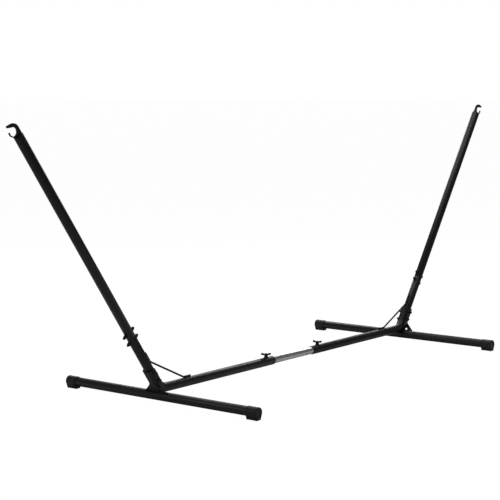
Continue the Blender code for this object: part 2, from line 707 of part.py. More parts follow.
def wing_knob(half_name, half, parent):
    """Moulded wing knob that turns the clamp screw."""
    name = half_name + "_wing_knob"
    base = BEAM_HEIGHT + TUBE_RADIUS + CLAMP_NUT_RISE + KNOB_LIFT
    place = half @ shift(CLAMP_X, 0.0, base) @ turn(KNOB_TURNS[half_name], "Z")
    bore = SCREW_RADIUS + CONTACT_GAP
    profile = [(0.0, KNOB_HUB_HEIGHT), (KNOB_HUB_RADIUS * 0.6, KNOB_HUB_HEIGHT),
               (KNOB_HUB_RADIUS * 0.8, KNOB_SOCKET_DEPTH), (KNOB_HUB_RADIUS, 0.0),
               (bore, 0.0), (bore, KNOB_SOCKET_DEPTH), (0.0, KNOB_SOCKET_DEPTH)]
    hub = turned(name, profile, place, MOULDED, parent=parent)
    wings = add_object(name + "_wings", flat_mesh(name + "_wings", wing_outline(), KNOB_THICKNESS),
                       place @ FLAT_XZ)
    socket = hole_tool(name + "_socket", bore, -0.001, KNOB_SOCKET_DEPTH, place, FASTENER_SIDES)
    join(hub, wings)
    cut(hub, socket)
    return hub


# ================================================================ assembly
def bolted_arm_joint(half_name, half, corner, arm, sleeve, parent):
    """Two bolts across the arm joint, each on saddle washers."""
    across = turn(-math.pi / 2, "Y")
    tubes = {"lower": corner, "upper": arm}
    for level, station in ARM_BOLT_STATIONS.items():
        place = half @ arm_frame(station)
        prefix = "%s_arm_%s" % (half_name, level)
        hole = hole_tool(prefix + "_hole", BOLT_HOLE_RADIUS, -2 * TUBE_RADIUS, 2 * TUBE_RADIUS,
                         place @ across)
        saddle = hole_tool(prefix + "_saddle", TUBE_RADIUS + SADDLE_GAP, -2 * SADDLE_RADIUS,
                           2 * SADDLE_RADIUS, place, 2 * TUBE_SIDES)
        cut(tubes[level], hole)
        cut(sleeve, hole)
        saddle_washer(prefix + "_washer_inner", place, across, saddle, hole, parent)
        saddle_washer(prefix + "_washer_outer", place, across @ turn(math.pi, "X"), saddle, hole,
                      parent)
        bolt_and_nut(prefix, place, across, SADDLE_FACE, parent)


def bolted_base_joint(half_name, half, corner, parent):
    """Bracket and its two bolts through the corner tube."""
    holes = []
    for level, station in BASE_BOLT_STATIONS.items():
        place = half @ arm_frame(station)
        prefix = "%s_base_%s" % (half_name, level)
        hole = hole_tool(prefix + "_hole", BOLT_HOLE_RADIUS, -2 * TUBE_RADIUS, 2 * TUBE_RADIUS,
                         place @ ACROSS)
        holes.append(hole)
        bolt_and_nut(prefix, place, ACROSS, BRACKET_OUTER, parent)
    cut(corner, *holes)
    bracket(half_name, half, holes, parent)


def build_half(half_name, angle, parent):
    """One half of the stand: foot bar, bracket, corner tube, arm, hook and clamp."""
    half = turn(angle, "Z")
    foot_bar(half_name, half, parent)
    corner = corner_tube(half_name, half, parent)
    arm = arm_tube(half_name, half, parent)
    sleeve = spigot(half_name, half, parent)
    bolted_base_joint(half_name, half, corner, parent)
    bolted_arm_joint(half_name, half, corner, arm, sleeve, parent)
    brace_rod(half_name, half, parent)
    rivet_tool = hole_tool(half_name + "_rivet_hole", RIVET_HOLE_RADIUS, -2 * TUBE_RADIUS,
                           2 * TUBE_RADIUS,
                           half @ arm_frame(ARM_TUBE_END - RIVET_DEPTH) @ ACROSS)
    cut(arm, rivet_tool)
    hook(half_name, half, rivet_tool, parent)
    hook_rivet(half_name, half, parent)
    mouth_bush(half_name, half, parent)
    clamp_nut(half_name, half, parent)
    screw_hole = hole_tool(half_name + "_screw_hole", SCREW_RADIUS + BOLT_CLEARANCE, 0.0,
                           2 * TUBE_RADIUS, half @ shift(CLAMP_X, 0.0, BEAM_HEIGHT))
    cut(corner, screw_hole)
    screw_axis = axis_empty(half_name + "_screw_axis", half @ shift(CLAMP_X, 0.0, BEAM_HEIGHT),
                            parent)
    clamp_screw(half_name, half, screw_axis)
    wing_knob(half_name, half, screw_axis)
    for tube in (corner, arm, sleeve):
        smooth_rounds(tube)


def build_stand():
    """Both halves and the inner beam tube between them."""
    slide_axis = axis_empty("beam_slide_axis", beam_frame())
    right_axis = axis_empty("right_half_axis", beam_frame(), slide_axis)
    inner = straight_tube("inner_beam_tube", INNER_RADIUS, INNER_WALL, -INNER_LENGTH / 2,
                          INNER_LENGTH / 2, beam_frame(), ZINC, slide_axis)
    smooth_rounds(inner)
    parents = {"left": None, "right": right_axis}
    for half_name, angle in HALVES.items():
        build_half(half_name, angle, parents[half_name])


build_stand()
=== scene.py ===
"""Looks for the steel hammock stand: finely modelled tubes, welds, fasteners and mouldings.

Metres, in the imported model's frame: X along the beam, Y along the foot bars, +Z up. Each half's
pieces are made where the half at +X stands, and the other half's are turned half a turn about Z.
"""

import math

import bmesh
import bpy
from mathutils import Matrix, Vector


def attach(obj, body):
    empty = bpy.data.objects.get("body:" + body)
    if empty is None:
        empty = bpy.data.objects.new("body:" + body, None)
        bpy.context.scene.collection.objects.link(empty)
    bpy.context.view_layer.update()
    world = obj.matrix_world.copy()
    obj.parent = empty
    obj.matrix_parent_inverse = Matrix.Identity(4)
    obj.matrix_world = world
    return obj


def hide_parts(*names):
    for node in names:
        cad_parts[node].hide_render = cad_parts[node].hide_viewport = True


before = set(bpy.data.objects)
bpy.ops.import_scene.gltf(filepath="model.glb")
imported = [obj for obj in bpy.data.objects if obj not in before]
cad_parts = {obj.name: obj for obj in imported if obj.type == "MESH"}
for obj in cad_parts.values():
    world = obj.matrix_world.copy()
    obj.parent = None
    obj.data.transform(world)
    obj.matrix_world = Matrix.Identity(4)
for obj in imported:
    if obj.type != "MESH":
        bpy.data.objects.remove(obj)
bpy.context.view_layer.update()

# -------- the stand's sizes: a station runs up the arm from the corner of the bent tube
BAR_X = 0.875
BAR_LENGTH = 1.013
BAR_AXIS_HEIGHT = 0.030
ARM_ANGLE = math.radians(55.5)
HOOK_STATION = 1.278
TUBE_RADIUS = 0.019
TUBE_WALL = 0.0012
INNER_RADIUS = 0.016
INNER_WALL = 0.0012
INNER_LENGTH = 0.700
BEND_RADIUS = 0.080
CORNER_INSET = 0.005
ARM_JOINT_STATION = 0.282
MOUTH_X = 0.146
CLAMP_X = 0.187
CLAMP_NUT_HEIGHT = 0.005
KNOB_HEIGHT = 0.006
STUD_HEIGHT = 0.0132
KNOB_ANGLES = {"left": math.radians(129.0), "right": math.radians(104.0)}
CONTACT_GAP = 0.0003
ON_TUBE = TUBE_RADIUS + 0.0001  # the hollow of anything that sits on the tube

CAP_END = 0.0052
CAP_WALL = 0.0022
CAP_BORE_DEPTH = 0.060
CAP_HALF_PAD = 0.0130
CAP_PAD_CORNER = 0.002
CAP_GROOVES = 5
CAP_GROOVE_START = 0.0125
CAP_GROOVE_PITCH = 0.0072
CAP_GROOVE_SIZE = (0.060, 0.0022, 0.0020, 1.0)

BRACKET_PLATE = 0.003
BRACKET_INNER = TUBE_RADIUS + CONTACT_GAP
BRACKET_OUTER = BRACKET_INNER + BRACKET_PLATE
BRACKET_FOLD = 0.011
BRACKET_FLAT = BRACKET_INNER - BRACKET_FOLD
BRACKET_TOP = 0.110
CHEEK_REACH = 0.012
CHEEK_FOOT = 0.018
FLARE_TOP = 0.048
FLARE_FOOT = 0.004
FLARE_HALF_WIDTH = 0.058
FLARE_HOLE_RADIUS = 0.0058
FLARE_HOLE_STATION = 0.0085
FLARE_HOLE_OFFSET = 0.0220
FLARE_HOLE_SIDES = {"left": 1, "right": -1}

BRACE_RADIUS = 0.004
BRACE_ARM_TOP = 0.174
BRACE_ARM_BEND = 0.125
BRACE_BEAM_BEND = 0.148
BRACE_BEAM_END = 0.190
BRACE_BEND_RADIUS = 0.014
BRACE_WELD_START = 0.003
BRACE_WELD_SHORTER = 0.011

ARM_BOLT_STATIONS = {"lower": 0.264, "upper": 0.301}
BASE_BOLT_STATIONS = {"lower": 0.050, "upper": 0.089}
BOLT_TURNS = {"lower": math.radians(12.0), "upper": math.radians(37.0)}
SADDLE_RADIUS = 0.0080
SADDLE_FACE = TUBE_RADIUS + 0.0034
RIVET_DEPTH = 0.022

HOOK_OFFSET = 0.012
HOOK_THICKNESS = 0.007
HOOK_THROAT_RADIUS = 0.0165
HOOK_BACK_RADIUS = 0.0305
HOOK_TIP = (0.0110, 0.0290, 0.0048)
HOOK_SPUR_THICKNESS = 0.0040
HOOK_SPUR_ANGLE = 20.0
HOOK_COLLAR_HEIGHT = 0.0030
HOOK_BASE_DROP = 0.0290
HOOK_PLUG_DEPTH = 0.034

# -------- sizes that follow
BEND_TANGENT = BEND_RADIUS * math.tan(ARM_ANGLE / 2)
BEND_TO_BAR = BEND_RADIUS + 2 * TUBE_RADIUS + CONTACT_GAP
BEAM_RISE = math.sqrt(BEND_TO_BAR**2 - (CORNER_INSET + BEND_TANGENT) ** 2) - BEND_RADIUS
BEAM_HEIGHT = BAR_AXIS_HEIGHT + BEAM_RISE
CORNER = Vector((BAR_X - CORNER_INSET, 0.0, BEAM_HEIGHT))
ARM_TUBE_END = HOOK_STATION - HOOK_BASE_DROP
HALVES = {"left": math.pi, "right": 0.0}

# -------- weld beads' radii, and the meshes' fineness
WIDE_BEAD = 0.0024
SMALL_BEAD = 0.0021
THIN_BEAD = 0.0019
BEAD_RIDE = TUBE_RADIUS + 0.0012
TUBE_SIDES = 72
CUTTER_SIDES = 96
CUT_REACH = 0.12
SAME_PLACE = 1e-6


# ======== frames and outlines
def shift(x=0.0, y=0.0, z=0.0):
    return Matrix.Translation((x, y, z))


def turn(angle, axis):
    return Matrix.Rotation(angle, 4, axis)


def arm_frame(station=0.0):
    """On the arm's axis: +Z runs up the arm, +X points down and outboard."""
    return Matrix.Translation(CORNER) @ turn(math.pi / 2 - ARM_ANGLE, "Y") @ shift(z=station)


def beam_frame(x=0.0):
    """On the beam's axis: +Z points outboard."""
    return shift(x, 0.0, BEAM_HEIGHT) @ turn(math.pi / 2, "Y")


ACROSS = turn(math.pi / 2, "X")
STAND_UP = turn(math.pi / 2, "X")


def arc(centre, radius, start, end, steps):
    """Points on an arc in degrees, both ends included."""
    points = []
    for step in range(steps + 1):
        angle = math.radians(start + (end - start) * step / steps)
        points.append((centre[0] + radius * math.cos(angle), centre[1] + radius * math.sin(angle)))
    return points


def dome(radius, base, rise, start, steps):
    """A domed crown's side, from its pole down to its rim."""
    return [(0.0, base + rise)] + [(radius * x, base + rise * z)
                                   for x, z in arc((0.0, 0.0), 1.0, start, 0.0, steps)]


# ======== shapes
def edges_among(verts):
    """The edges whose two ends are both in the given vertices."""
    chosen = set(verts)
    return [e for e in {e for v in chosen for e in v.link_edges} if set(e.verts) <= chosen]


def hoop(bm, matrix, radius, sides):
    """A ring of edges in the matrix's XY plane."""
    made = bmesh.ops.create_circle(bm, segments=sides, radius=radius, matrix=matrix)
    return edges_among(made["verts"])


def draw_out(bm, edges, vector):
    """Extrude a ring straight, and return the new ring."""
    grown = bmesh.ops.extrude_edge_only(bm, edges=edges)["geom"]
    verts = [g for g in grown if isinstance(g, bmesh.types.BMVert)]
    bmesh.ops.translate(bm, verts=verts, vec=vector)
    return [g for g in grown if isinstance(g, bmesh.types.BMEdge)]


def bend_round(bm, edges, centre, axis, angle, steps):
    """Carry a ring round a bend, and return the ring at its far side."""
    verts = list({v for e in edges for v in e.verts})
    swung = bmesh.ops.spin(bm, geom=verts + edges, cent=centre, axis=axis, angle=angle,
                           steps=steps, use_duplicate=False)["geom_last"]
    return [g for g in swung if isinstance(g, bmesh.types.BMEdge)]


def pipe_skin(bm, corners, ring_radius, bend_radius, sides, steps):
    """Round skin along straight runs and even bends. Returns its two end rings."""
    corners = [Vector(c) for c in corners]
    ahead = (corners[1] - corners[0]).normalized()
    start = Matrix.Translation(corners[0]) @ ahead.to_track_quat("Z", "Y").to_matrix().to_4x4()
    first = hoop(bm, start, ring_radius, sides)
    ring, place = first, corners[0]
    for corner, after in zip(corners[1:], corners[2:]):
        onward = (after - corner).normalized()
        swing = ahead.angle(onward)
        tangent = bend_radius * math.tan(swing / 2)
        ring = draw_out(bm, ring, corner - ahead * tangent - place)
        inward = (onward - ahead * onward.dot(ahead)).normalized()
        centre = corner - ahead * tangent + inward * bend_radius
        ring = bend_round(bm, ring, centre, ahead.cross(onward), swing, steps)
        place, ahead = corner + onward * tangent, onward
    ring = draw_out(bm, ring, corners[-1] - place)
    return first, ring


def skin_over(bm, rings, closed=False):
    """Bridge a row of rings, and either join its ends or fill them."""
    for near, far in zip(rings, rings[1:]):
        bmesh.ops.bridge_loops(bm, edges=near + far)
    if closed:
        bmesh.ops.bridge_loops(bm, edges=rings[-1] + rings[0])
    else:
        for ring in (rings[0], rings[-1]):
            bmesh.ops.edgeloop_fill(bm, edges=ring)
    bmesh.ops.recalc_face_normals(bm, faces=bm.faces)


def close_skin(bm):
    """Merge doubles and turn the faces outwards."""
    bmesh.ops.remove_doubles(bm, verts=bm.verts, dist=SAME_PLACE)
    bmesh.ops.recalc_face_normals(bm, faces=bm.faces)


def soften(bm, width, segments=2, angle=35.0):
    """Round every edge that is sharper than the angle."""
    sharp = [e for e in bm.edges if e.is_manifold and e.calc_face_angle(0.0) > math.radians(angle)]
    bmesh.ops.bevel(bm, geom=sharp, offset=width, offset_type="OFFSET", segments=segments,
                    profile=0.5, affect="EDGES", clamp_overlap=True, material=-1)


def add_wall(bm, wall):
    """Give an open skin its wall, inwards."""
    close_skin(bm)
    bmesh.ops.solidify(bm, geom=bm.faces[:], thickness=wall)


def turned(profile, sides=40):
    """Turn a profile of (radius, height), listed from the top down its outer side, about Z."""
    bm = bmesh.new()
    verts = [bm.verts.new((radius, 0.0, height)) for radius, height in profile]
    edges = [bm.edges.new(pair) for pair in zip(verts, verts[1:])]
    bmesh.ops.spin(bm, geom=verts + edges, cent=(0, 0, 0), axis=(0, 0, 1), angle=2 * math.pi,
                   steps=sides, use_merge=True)
    close_skin(bm)
    return bm


def slab(outline, low, high, stand=Matrix()):
    """An outline in XY raised from low to high, then stood in place."""
    bm = bmesh.new()
    verts = [bm.verts.new((x, y, low)) for x, y in outline]
    face = bm.faces.new(verts)
    raised = bmesh.ops.extrude_face_region(bm, geom=[face])["geom"]
    bmesh.ops.translate(bm, verts=[g for g in raised if isinstance(g, bmesh.types.BMVert)],
                        vec=(0.0, 0.0, high - low))
    bmesh.ops.recalc_face_normals(bm, faces=bm.faces)
    bmesh.ops.transform(bm, matrix=stand, verts=bm.verts)
    return bm


def straight_bar(radius, depth, matrix, sides=CUTTER_SIDES):
    """A bar along its own Z, centred and then placed: most are cutters."""
    bm = bmesh.new()
    bmesh.ops.create_cone(bm, cap_ends=True, segments=sides, radius1=radius, radius2=radius,
                          depth=depth, matrix=matrix)
    return bm


def cushion(outline, half_thickness, rounding, steps=7):
    """A counterclockwise outline as a thick plate with fully rounded rims."""
    bm = bmesh.new()
    count = len(outline)
    normals = []
    for index in range(count):
        before, after = outline[index - 1], outline[(index + 1) % count]
        across = Vector((after[1] - before[1], before[0] - after[0])).normalized()
        normals.append(across)
    levels = [(math.pi / 2 * step / steps) for step in range(steps + 1)]
    stack = [(rounding * (1 - math.cos(a)), half_thickness - rounding + rounding * math.sin(a))
             for a in levels]
    stack = [(inset, -height) for inset, height in reversed(stack)] + stack
    rings = []
    for inset, height in stack:
        verts = [bm.verts.new((x - n.x * inset, y - n.y * inset, height))
                 for (x, y), n in zip(outline, normals)]
        rings.append([bm.edges.new(pair) for pair in zip(verts, verts[1:] + verts[:1])])
    skin_over(bm, rings)
    return bm


def weld_bead(bm, points, radius, sides=10, ripple=0.0017, closed=False):
    """A rippled weld bead along a line of points."""
    points = [Vector(p) for p in points]
    if closed:
        points.append(points[0])
    run = [0.0]
    for a, b in zip(points, points[1:]):
        run.append(run[-1] + (b - a).length)
    count = max(6, int(run[-1] / ripple * 4))
    rings = []
    for step in range(count if closed else count + 1):
        along = run[-1] * step / count
        piece = max(i for i in range(len(run) - 1) if run[i] <= along + 1e-9)
        a, b = points[piece], points[piece + 1]
        place = a.lerp(b, (along - run[piece]) / (run[piece + 1] - run[piece]))
        swell = 1.0 + 0.13 * math.cos(2 * math.pi * along / ripple)
        swell *= 1.0 + 0.05 * math.sin(along * 410.0) + 0.04 * math.sin(along * 1130.0 + 1.0)
        if not closed:
            ends = min(step, count - step)
            swell *= (0.30, 0.72, 0.92)[ends] if ends < 3 else 1.0
        facing = (b - a).to_track_quat("Z", "Y").to_matrix().to_4x4()
        made = bmesh.ops.create_circle(bm, segments=sides, radius=radius * swell,
                                       matrix=Matrix.Translation(place) @ facing)["verts"]
        rings.append(edges_among(made))
    skin_over(bm, rings, closed)


def baked(bm_or_mesh, cutters=(), joiners=(), bevel=None):
    """Run Booleans and an edge bevel on a mesh, and return the result as a bmesh."""
    def as_object(source):
        mesh = bpy.data.meshes.new("working")
        source.to_mesh(mesh)
        source.free()
        item = bpy.data.objects.new("working", mesh)
        bpy.context.scene.collection.objects.link(item)
        return item

    base = as_object(bm_or_mesh)
    helpers = []
    for tools, operation in ((joiners, "UNION"), (cutters, "DIFFERENCE")):
        for tool in tools:
            helper = as_object(tool)
            helpers.append(helper)
            step = base.modifiers.new("cut", "BOOLEAN")
            step.operation = operation
            step.solver = "EXACT"
            step.object = helper
    if bevel:
        rounding = base.modifiers.new("edges", "BEVEL")
        rounding.width = bevel[0]
        rounding.segments = bevel[1]
        rounding.limit_method = "ANGLE"
        rounding.angle_limit = math.radians(38.0)
    bpy.context.view_layer.update()
    mesh = bpy.data.meshes.new_from_object(
        base.evaluated_get(bpy.context.evaluated_depsgraph_get()))
    out = bmesh.new()
    out.from_mesh(mesh)
    bmesh.ops.remove_doubles(out, verts=out.verts, dist=SAME_PLACE)
    for item in [base] + helpers:
        used = item.data
        bpy.data.objects.remove(item)
        bpy.data.meshes.remove(used)
    bpy.data.meshes.remove(mesh)
    return out


# ======== shader effects
def effect(name, inputs, outputs):
    """An empty shader group with named sockets."""
    group = bpy.data.node_groups.new(name, "ShaderNodeTree")
    for label, kind, value in inputs:
        socket = group.interface.new_socket(label, in_out="INPUT", socket_type=kind)
        if value is not None:
            socket.default_value = value
    for label, kind in outputs:
        group.interface.new_socket(label, in_out="OUTPUT", socket_type=kind)
    entry = group.nodes.new("NodeGroupInput")
    leave = group.nodes.new("NodeGroupOutput")
    return group, entry, leave


def node(tree, kind, settings=None, **inputs):
    """Add a node, set its properties, and give its inputs a value or a link."""
    made = tree.nodes.new("ShaderNode" + kind)
    for key, value in (settings or {}).items():
        setattr(made, key, value)
    for key, value in inputs.items():
        name = key.replace("_", " ")
        socket = made.inputs[int(key[1:])] if key[1:].isdigit() else made.inputs[name]
        if isinstance(value, bpy.types.NodeSocket):
            tree.links.new(value, socket)
        else:
            socket.default_value = value
    return made


def maths(tree, operation, a, b=0.0, clamp=False):
    """A Math node's result."""
    return node(tree, "Math", {"operation": operation, "use_clamp": clamp}, i0=a, i1=b).outputs[0]


def smooth_ramp(tree, value, low, high):
    """A soft step from 0 at low to 1 at high."""
    return node(tree, "MapRange", {"interpolation_type": "SMOOTHSTEP"}, Value=value,
                From_Min=low, From_Max=high).outputs[0]


def build_orange_peel():
    """The fine, softly dimpled skin of baked powder."""
    group, entry, leave = effect("orange_peel", [("Position", "NodeSocketVector", None),
                                                 ("Dimple Scale", "NodeSocketFloat", 700.0)],
                                 [("Height", "NodeSocketFloat")])
    broad = node(group, "TexNoise", {}, Vector=entry.outputs["Position"],
                 Scale=entry.outputs["Dimple Scale"], Detail=1.0, Roughness=0.4)
    fine_scale = maths(group, "MULTIPLY", entry.outputs["Dimple Scale"], 3.7)
    fine = node(group, "TexNoise", {}, Vector=entry.outputs["Position"], Scale=fine_scale,
                Detail=1.0, Roughness=0.5)
    soft = maths(group, "MULTIPLY", fine.outputs[0], 0.28)
    group.links.new(maths(group, "ADD", broad.outputs[0], soft), leave.inputs["Height"])
    return group


def build_wear_marks():
    """Faint rubbed patches and short scuffs, as a mask."""
    group, entry, leave = effect("wear_marks", [("Position", "NodeSocketVector", None),
                                                ("Amount", "NodeSocketFloat", 0.5)],
                                 [("Patches", "NodeSocketFloat"), ("Scuffs", "NodeSocketFloat")])
    cloud = node(group, "TexNoise", {}, Vector=entry.outputs["Position"], Scale=14.0, Detail=4.0,
                 Roughness=0.6)
    patches = smooth_ramp(group, cloud.outputs[0], 0.42, 0.72)
    stretched = node(group, "Mapping", {}, Vector=entry.outputs["Position"],
                     Rotation=(0.4, 0.7, 0.3), Scale=(60.0, 420.0, 240.0))
    streaks = node(group, "TexNoise", {}, Vector=stretched.outputs[0], Scale=1.0, Detail=2.0,
                   Roughness=0.5)
    thin = smooth_ramp(group, streaks.outputs[0], 0.66, 0.74)
    scuffs = maths(group, "MULTIPLY", thin, patches)
    for mask, label in ((patches, "Patches"), (scuffs, "Scuffs")):
        group.links.new(maths(group, "MULTIPLY", mask, entry.outputs["Amount"]),
                        leave.inputs[label])
    return group


def build_settled_dust():
    """A thin veil on faces that look up, as a mask."""
    group, entry, leave = effect("settled_dust", [("Position", "NodeSocketVector", None),
                                                  ("Amount", "NodeSocketFloat", 0.3)],
                                 [("Mask", "NodeSocketFloat")])
    facing = node(group, "NewGeometry")
    upright = node(group, "SeparateXYZ", {}, Vector=facing.outputs["Normal"])
    rise = smooth_ramp(group, upright.outputs["Z"], 0.35, 1.0)
    speck = node(group, "TexNoise", {}, Vector=entry.outputs["Position"], Scale=95.0, Detail=5.0,
                 Roughness=0.65)
    broken = node(group, "MapRange", {}, Value=speck.outputs[0], From_Min=0.35, From_Max=0.75)
    veil = maths(group, "MULTIPLY", rise, broken.outputs[0])
    group.links.new(maths(group, "MULTIPLY", veil, entry.outputs["Amount"], clamp=True),
                    leave.inputs["Mask"])
    return group


ORANGE_PEEL = build_orange_peel()
WEAR_MARKS = build_wear_marks()
SETTLED_DUST = build_settled_dust()


def use_effect(tree, group, **inputs):
    """Place a shader group in a material."""
    made = tree.nodes.new("ShaderNodeGroup")
    made.node_tree = group
    for key, value in inputs.items():
        socket = made.inputs[key.replace("_", " ")]
        if isinstance(value, bpy.types.NodeSocket):
            tree.links.new(value, socket)
        else:
            socket.default_value = value
    return made


def start_material(name):
    """A new node material, its Principled shader and its object coordinates."""
    material = bpy.data.materials.new(name)
    material.use_nodes = True
    tree = material.node_tree
    shader = tree.nodes["Principled BSDF"]
    place = tree.nodes.new("ShaderNodeTexCoord").outputs["Object"]
    return material, tree, shader, place


def mix_colour(tree, factor, first, second):
    """Blend two colours by a mask."""
    made = node(tree, "Mix", {"data_type": "RGBA"})
    tree.links.new(factor, made.inputs[0])
    for socket, value in ((made.inputs[6], first), (made.inputs[7], second)):
        if isinstance(value, bpy.types.NodeSocket):
            tree.links.new(value, socket)
        else:
            socket.default_value = (*value, 1.0)
    return made.outputs[2]


def bump(tree, shader, height, distance, strength=1.0):
    """Feed a height into the shader's normal."""
    made = node(tree, "Bump", {}, Height=height, Distance=distance, Strength=strength)
    tree.links.new(made.outputs[0], shader.inputs["Normal"])


def drifting_roughness(tree, patches, drift, roughness):
    """Roughness that rises a little where the surface is rubbed."""
    made = maths(tree, "MULTIPLY_ADD", patches, drift)
    made.node.inputs[2].default_value = roughness
    return made


def coated_steel(name, colour, roughness, peel, depth, dust):
    """Steel under satin black powder coat."""
    material, tree, shader, place = start_material(name)
    marks = use_effect(tree, WEAR_MARKS, Position=place, Amount=0.5)
    veil = use_effect(tree, SETTLED_DUST, Position=place, Amount=dust)
    rubbed = mix_colour(tree, marks.outputs["Scuffs"], colour, tuple(3.2 * c for c in colour))
    shade = mix_colour(tree, veil.outputs["Mask"], rubbed, (0.055, 0.053, 0.050))
    tree.links.new(shade, shader.inputs["Base Color"])
    drift = drifting_roughness(tree, marks.outputs["Patches"], 0.14, roughness)
    dulled = maths(tree, "ADD", drift, maths(tree, "MULTIPLY", veil.outputs["Mask"], 0.25))
    tree.links.new(dulled, shader.inputs["Roughness"])
    skin = use_effect(tree, ORANGE_PEEL, Position=place, Dimple_Scale=peel)
    bump(tree, shader, skin.outputs["Height"], depth)
    return material


def zinc_plated_steel(name):
    """Drawn tube under bright zinc: fine lengthwise draw lines and a faint mottle."""
    material, tree, shader, place = start_material(name)
    shader.inputs["Metallic"].default_value = 1.0
    drawn = node(tree, "Mapping", {}, Vector=place, Scale=(3.0, 900.0, 900.0))
    lines = node(tree, "TexNoise", {}, Vector=drawn.outputs[0], Scale=1.0, Detail=3.0,
                 Roughness=0.6)
    mottle = node(tree, "TexNoise", {}, Vector=place, Scale=26.0, Detail=2.0, Roughness=0.5)
    bright = node(tree, "MapRange", {}, Value=mottle.outputs[0], From_Min=0.3, From_Max=0.7)
    shade = mix_colour(tree, bright.outputs[0], (0.70, 0.715, 0.72), (0.80, 0.81, 0.81))
    tree.links.new(shade, shader.inputs["Base Color"])
    rough = node(tree, "MapRange", {}, Value=lines.outputs[0], From_Min=0.3, From_Max=0.7,
                 To_Min=0.15, To_Max=0.24)
    tree.links.new(rough.outputs[0], shader.inputs["Roughness"])
    bump(tree, shader, lines.outputs[0], 0.00001)
    return material


def moulded_plastic(name, colour, roughness, grain_depth):
    """Spark-textured black plastic."""
    material, tree, shader, place = start_material(name)
    marks = use_effect(tree, WEAR_MARKS, Position=place, Amount=0.6)
    veil = use_effect(tree, SETTLED_DUST, Position=place, Amount=0.25)
    worn = mix_colour(tree, marks.outputs["Scuffs"], colour, (0.07, 0.07, 0.068))
    shade = mix_colour(tree, veil.outputs["Mask"], worn, (0.060, 0.058, 0.055))
    tree.links.new(shade, shader.inputs["Base Color"])
    tree.links.new(drifting_roughness(tree, marks.outputs["Patches"], 0.12, roughness),
                   shader.inputs["Roughness"])
    cells = node(tree, "TexVoronoi", {"feature": "SMOOTH_F1"}, Vector=place, Scale=2300.0,
                 Randomness=1.0)
    skin = use_effect(tree, ORANGE_PEEL, Position=place, Dimple_Scale=1500.0)
    grain = maths(tree, "ADD", cells.outputs["Distance"], skin.outputs["Height"])
    bump(tree, shader, grain, grain_depth)
    return material


def blacked_steel(name):
    """Black coated fastener, rubbed to steel here and there on its flats."""
    material, tree, shader, place = start_material(name)
    marks = use_effect(tree, WEAR_MARKS, Position=place, Amount=0.9)
    shade = mix_colour(tree, marks.outputs["Scuffs"], (0.018, 0.018, 0.019), (0.16, 0.16, 0.165))
    tree.links.new(shade, shader.inputs["Base Color"])
    tree.links.new(marks.outputs["Scuffs"], shader.inputs["Metallic"])
    tree.links.new(drifting_roughness(tree, marks.outputs["Patches"], 0.16, 0.27),
                   shader.inputs["Roughness"])
    skin = use_effect(tree, ORANGE_PEEL, Position=place, Dimple_Scale=1100.0)
    bump(tree, shader, skin.outputs["Height"], 0.00003)
    return material


POWDER_COAT = coated_steel("satin_black_powder_coat", (0.0085, 0.0085, 0.0088), 0.34, 620.0,
                           0.00005, 0.20)
COATED_WELD = coated_steel("powder_coated_weld", (0.0080, 0.0080, 0.0083), 0.40, 900.0,
                           0.00010, 0.15)
ZINC = zinc_plated_steel("bright_zinc_plate")
CAP_PLASTIC = moulded_plastic("grained_black_plastic", (0.0105, 0.0110, 0.0105), 0.46, 0.00006)
KNOB_PLASTIC = moulded_plastic("smooth_black_plastic", (0.0100, 0.0105, 0.0100), 0.34, 0.00003)
FASTENER = blacked_steel("blacked_fastener_steel")


# ======== placing pieces
def place_piece(name, bm, half, body, material, nodes=(), sharp=35.0):
    """Make the bmesh a piece that rides on a body and stands for its CAD nodes."""
    mesh = bpy.data.meshes.new(name)
    bmesh.ops.transform(bm, matrix=half, verts=bm.verts)
    bm.to_mesh(mesh)
    bm.free()
    mesh.materials.append(material)
    mesh.shade_smooth()
    mesh.set_sharp_from_angle(angle=math.radians(sharp))
    item = bpy.data.objects.new(name, mesh)
    bpy.context.scene.collection.objects.link(item)
    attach(item, body)
    if nodes:
        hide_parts(*nodes)
    return item


# ======== tubes and rods
def tube_from(corners, radius, wall, bend_radius=BEND_RADIUS, steps=28):
    """Open-ended round tube with softened rims."""
    bm = bmesh.new()
    pipe_skin(bm, corners, radius, bend_radius, TUBE_SIDES, steps)
    add_wall(bm, wall)
    soften(bm, wall * 0.3, 2, 60.0)
    return bm


def make_foot_bar(half_name, half, body):
    ends = [(BAR_X, side * BAR_LENGTH / 2, BAR_AXIS_HEIGHT) for side in (-1, 1)]
    bm = tube_from(ends, TUBE_RADIUS, TUBE_WALL)
    place_piece(half_name + "_foot_bar_tube", bm, half, body, POWDER_COAT,
                [half_name + "_foot_bar"])


def make_corner_tube(half_name, half, body):
    top = arm_frame(ARM_JOINT_STATION - CONTACT_GAP / 2).translation
    mouth = beam_frame(MOUTH_X).translation
    bm = tube_from([mouth, CORNER, top], TUBE_RADIUS, TUBE_WALL)
    place_piece(half_name + "_bent_corner_tube", bm, half, body, POWDER_COAT,
                [half_name + "_corner_tube", half_name + "_joint_spigot"])


def make_arm_tube(half_name, half, body):
    low = arm_frame(ARM_JOINT_STATION + CONTACT_GAP / 2).translation
    high = arm_frame(ARM_TUBE_END).translation
    bm = tube_from([low, high], TUBE_RADIUS, TUBE_WALL)
    place_piece(half_name + "_upper_arm_tube", bm, half, body, POWDER_COAT,
                [half_name + "_arm_tube"])


def brace_corners():
    offset = TUBE_RADIUS + BRACE_RADIUS + CONTACT_GAP
    beam_z = BEAM_HEIGHT + offset
    return [(arm_frame(BRACE_ARM_TOP) @ shift(-offset)).translation,
            (arm_frame(BRACE_ARM_BEND) @ shift(-offset)).translation,
            Vector((BAR_X - BRACE_BEAM_BEND, 0.0, beam_z)),
            Vector((BAR_X - BRACE_BEAM_END, 0.0, beam_z))]


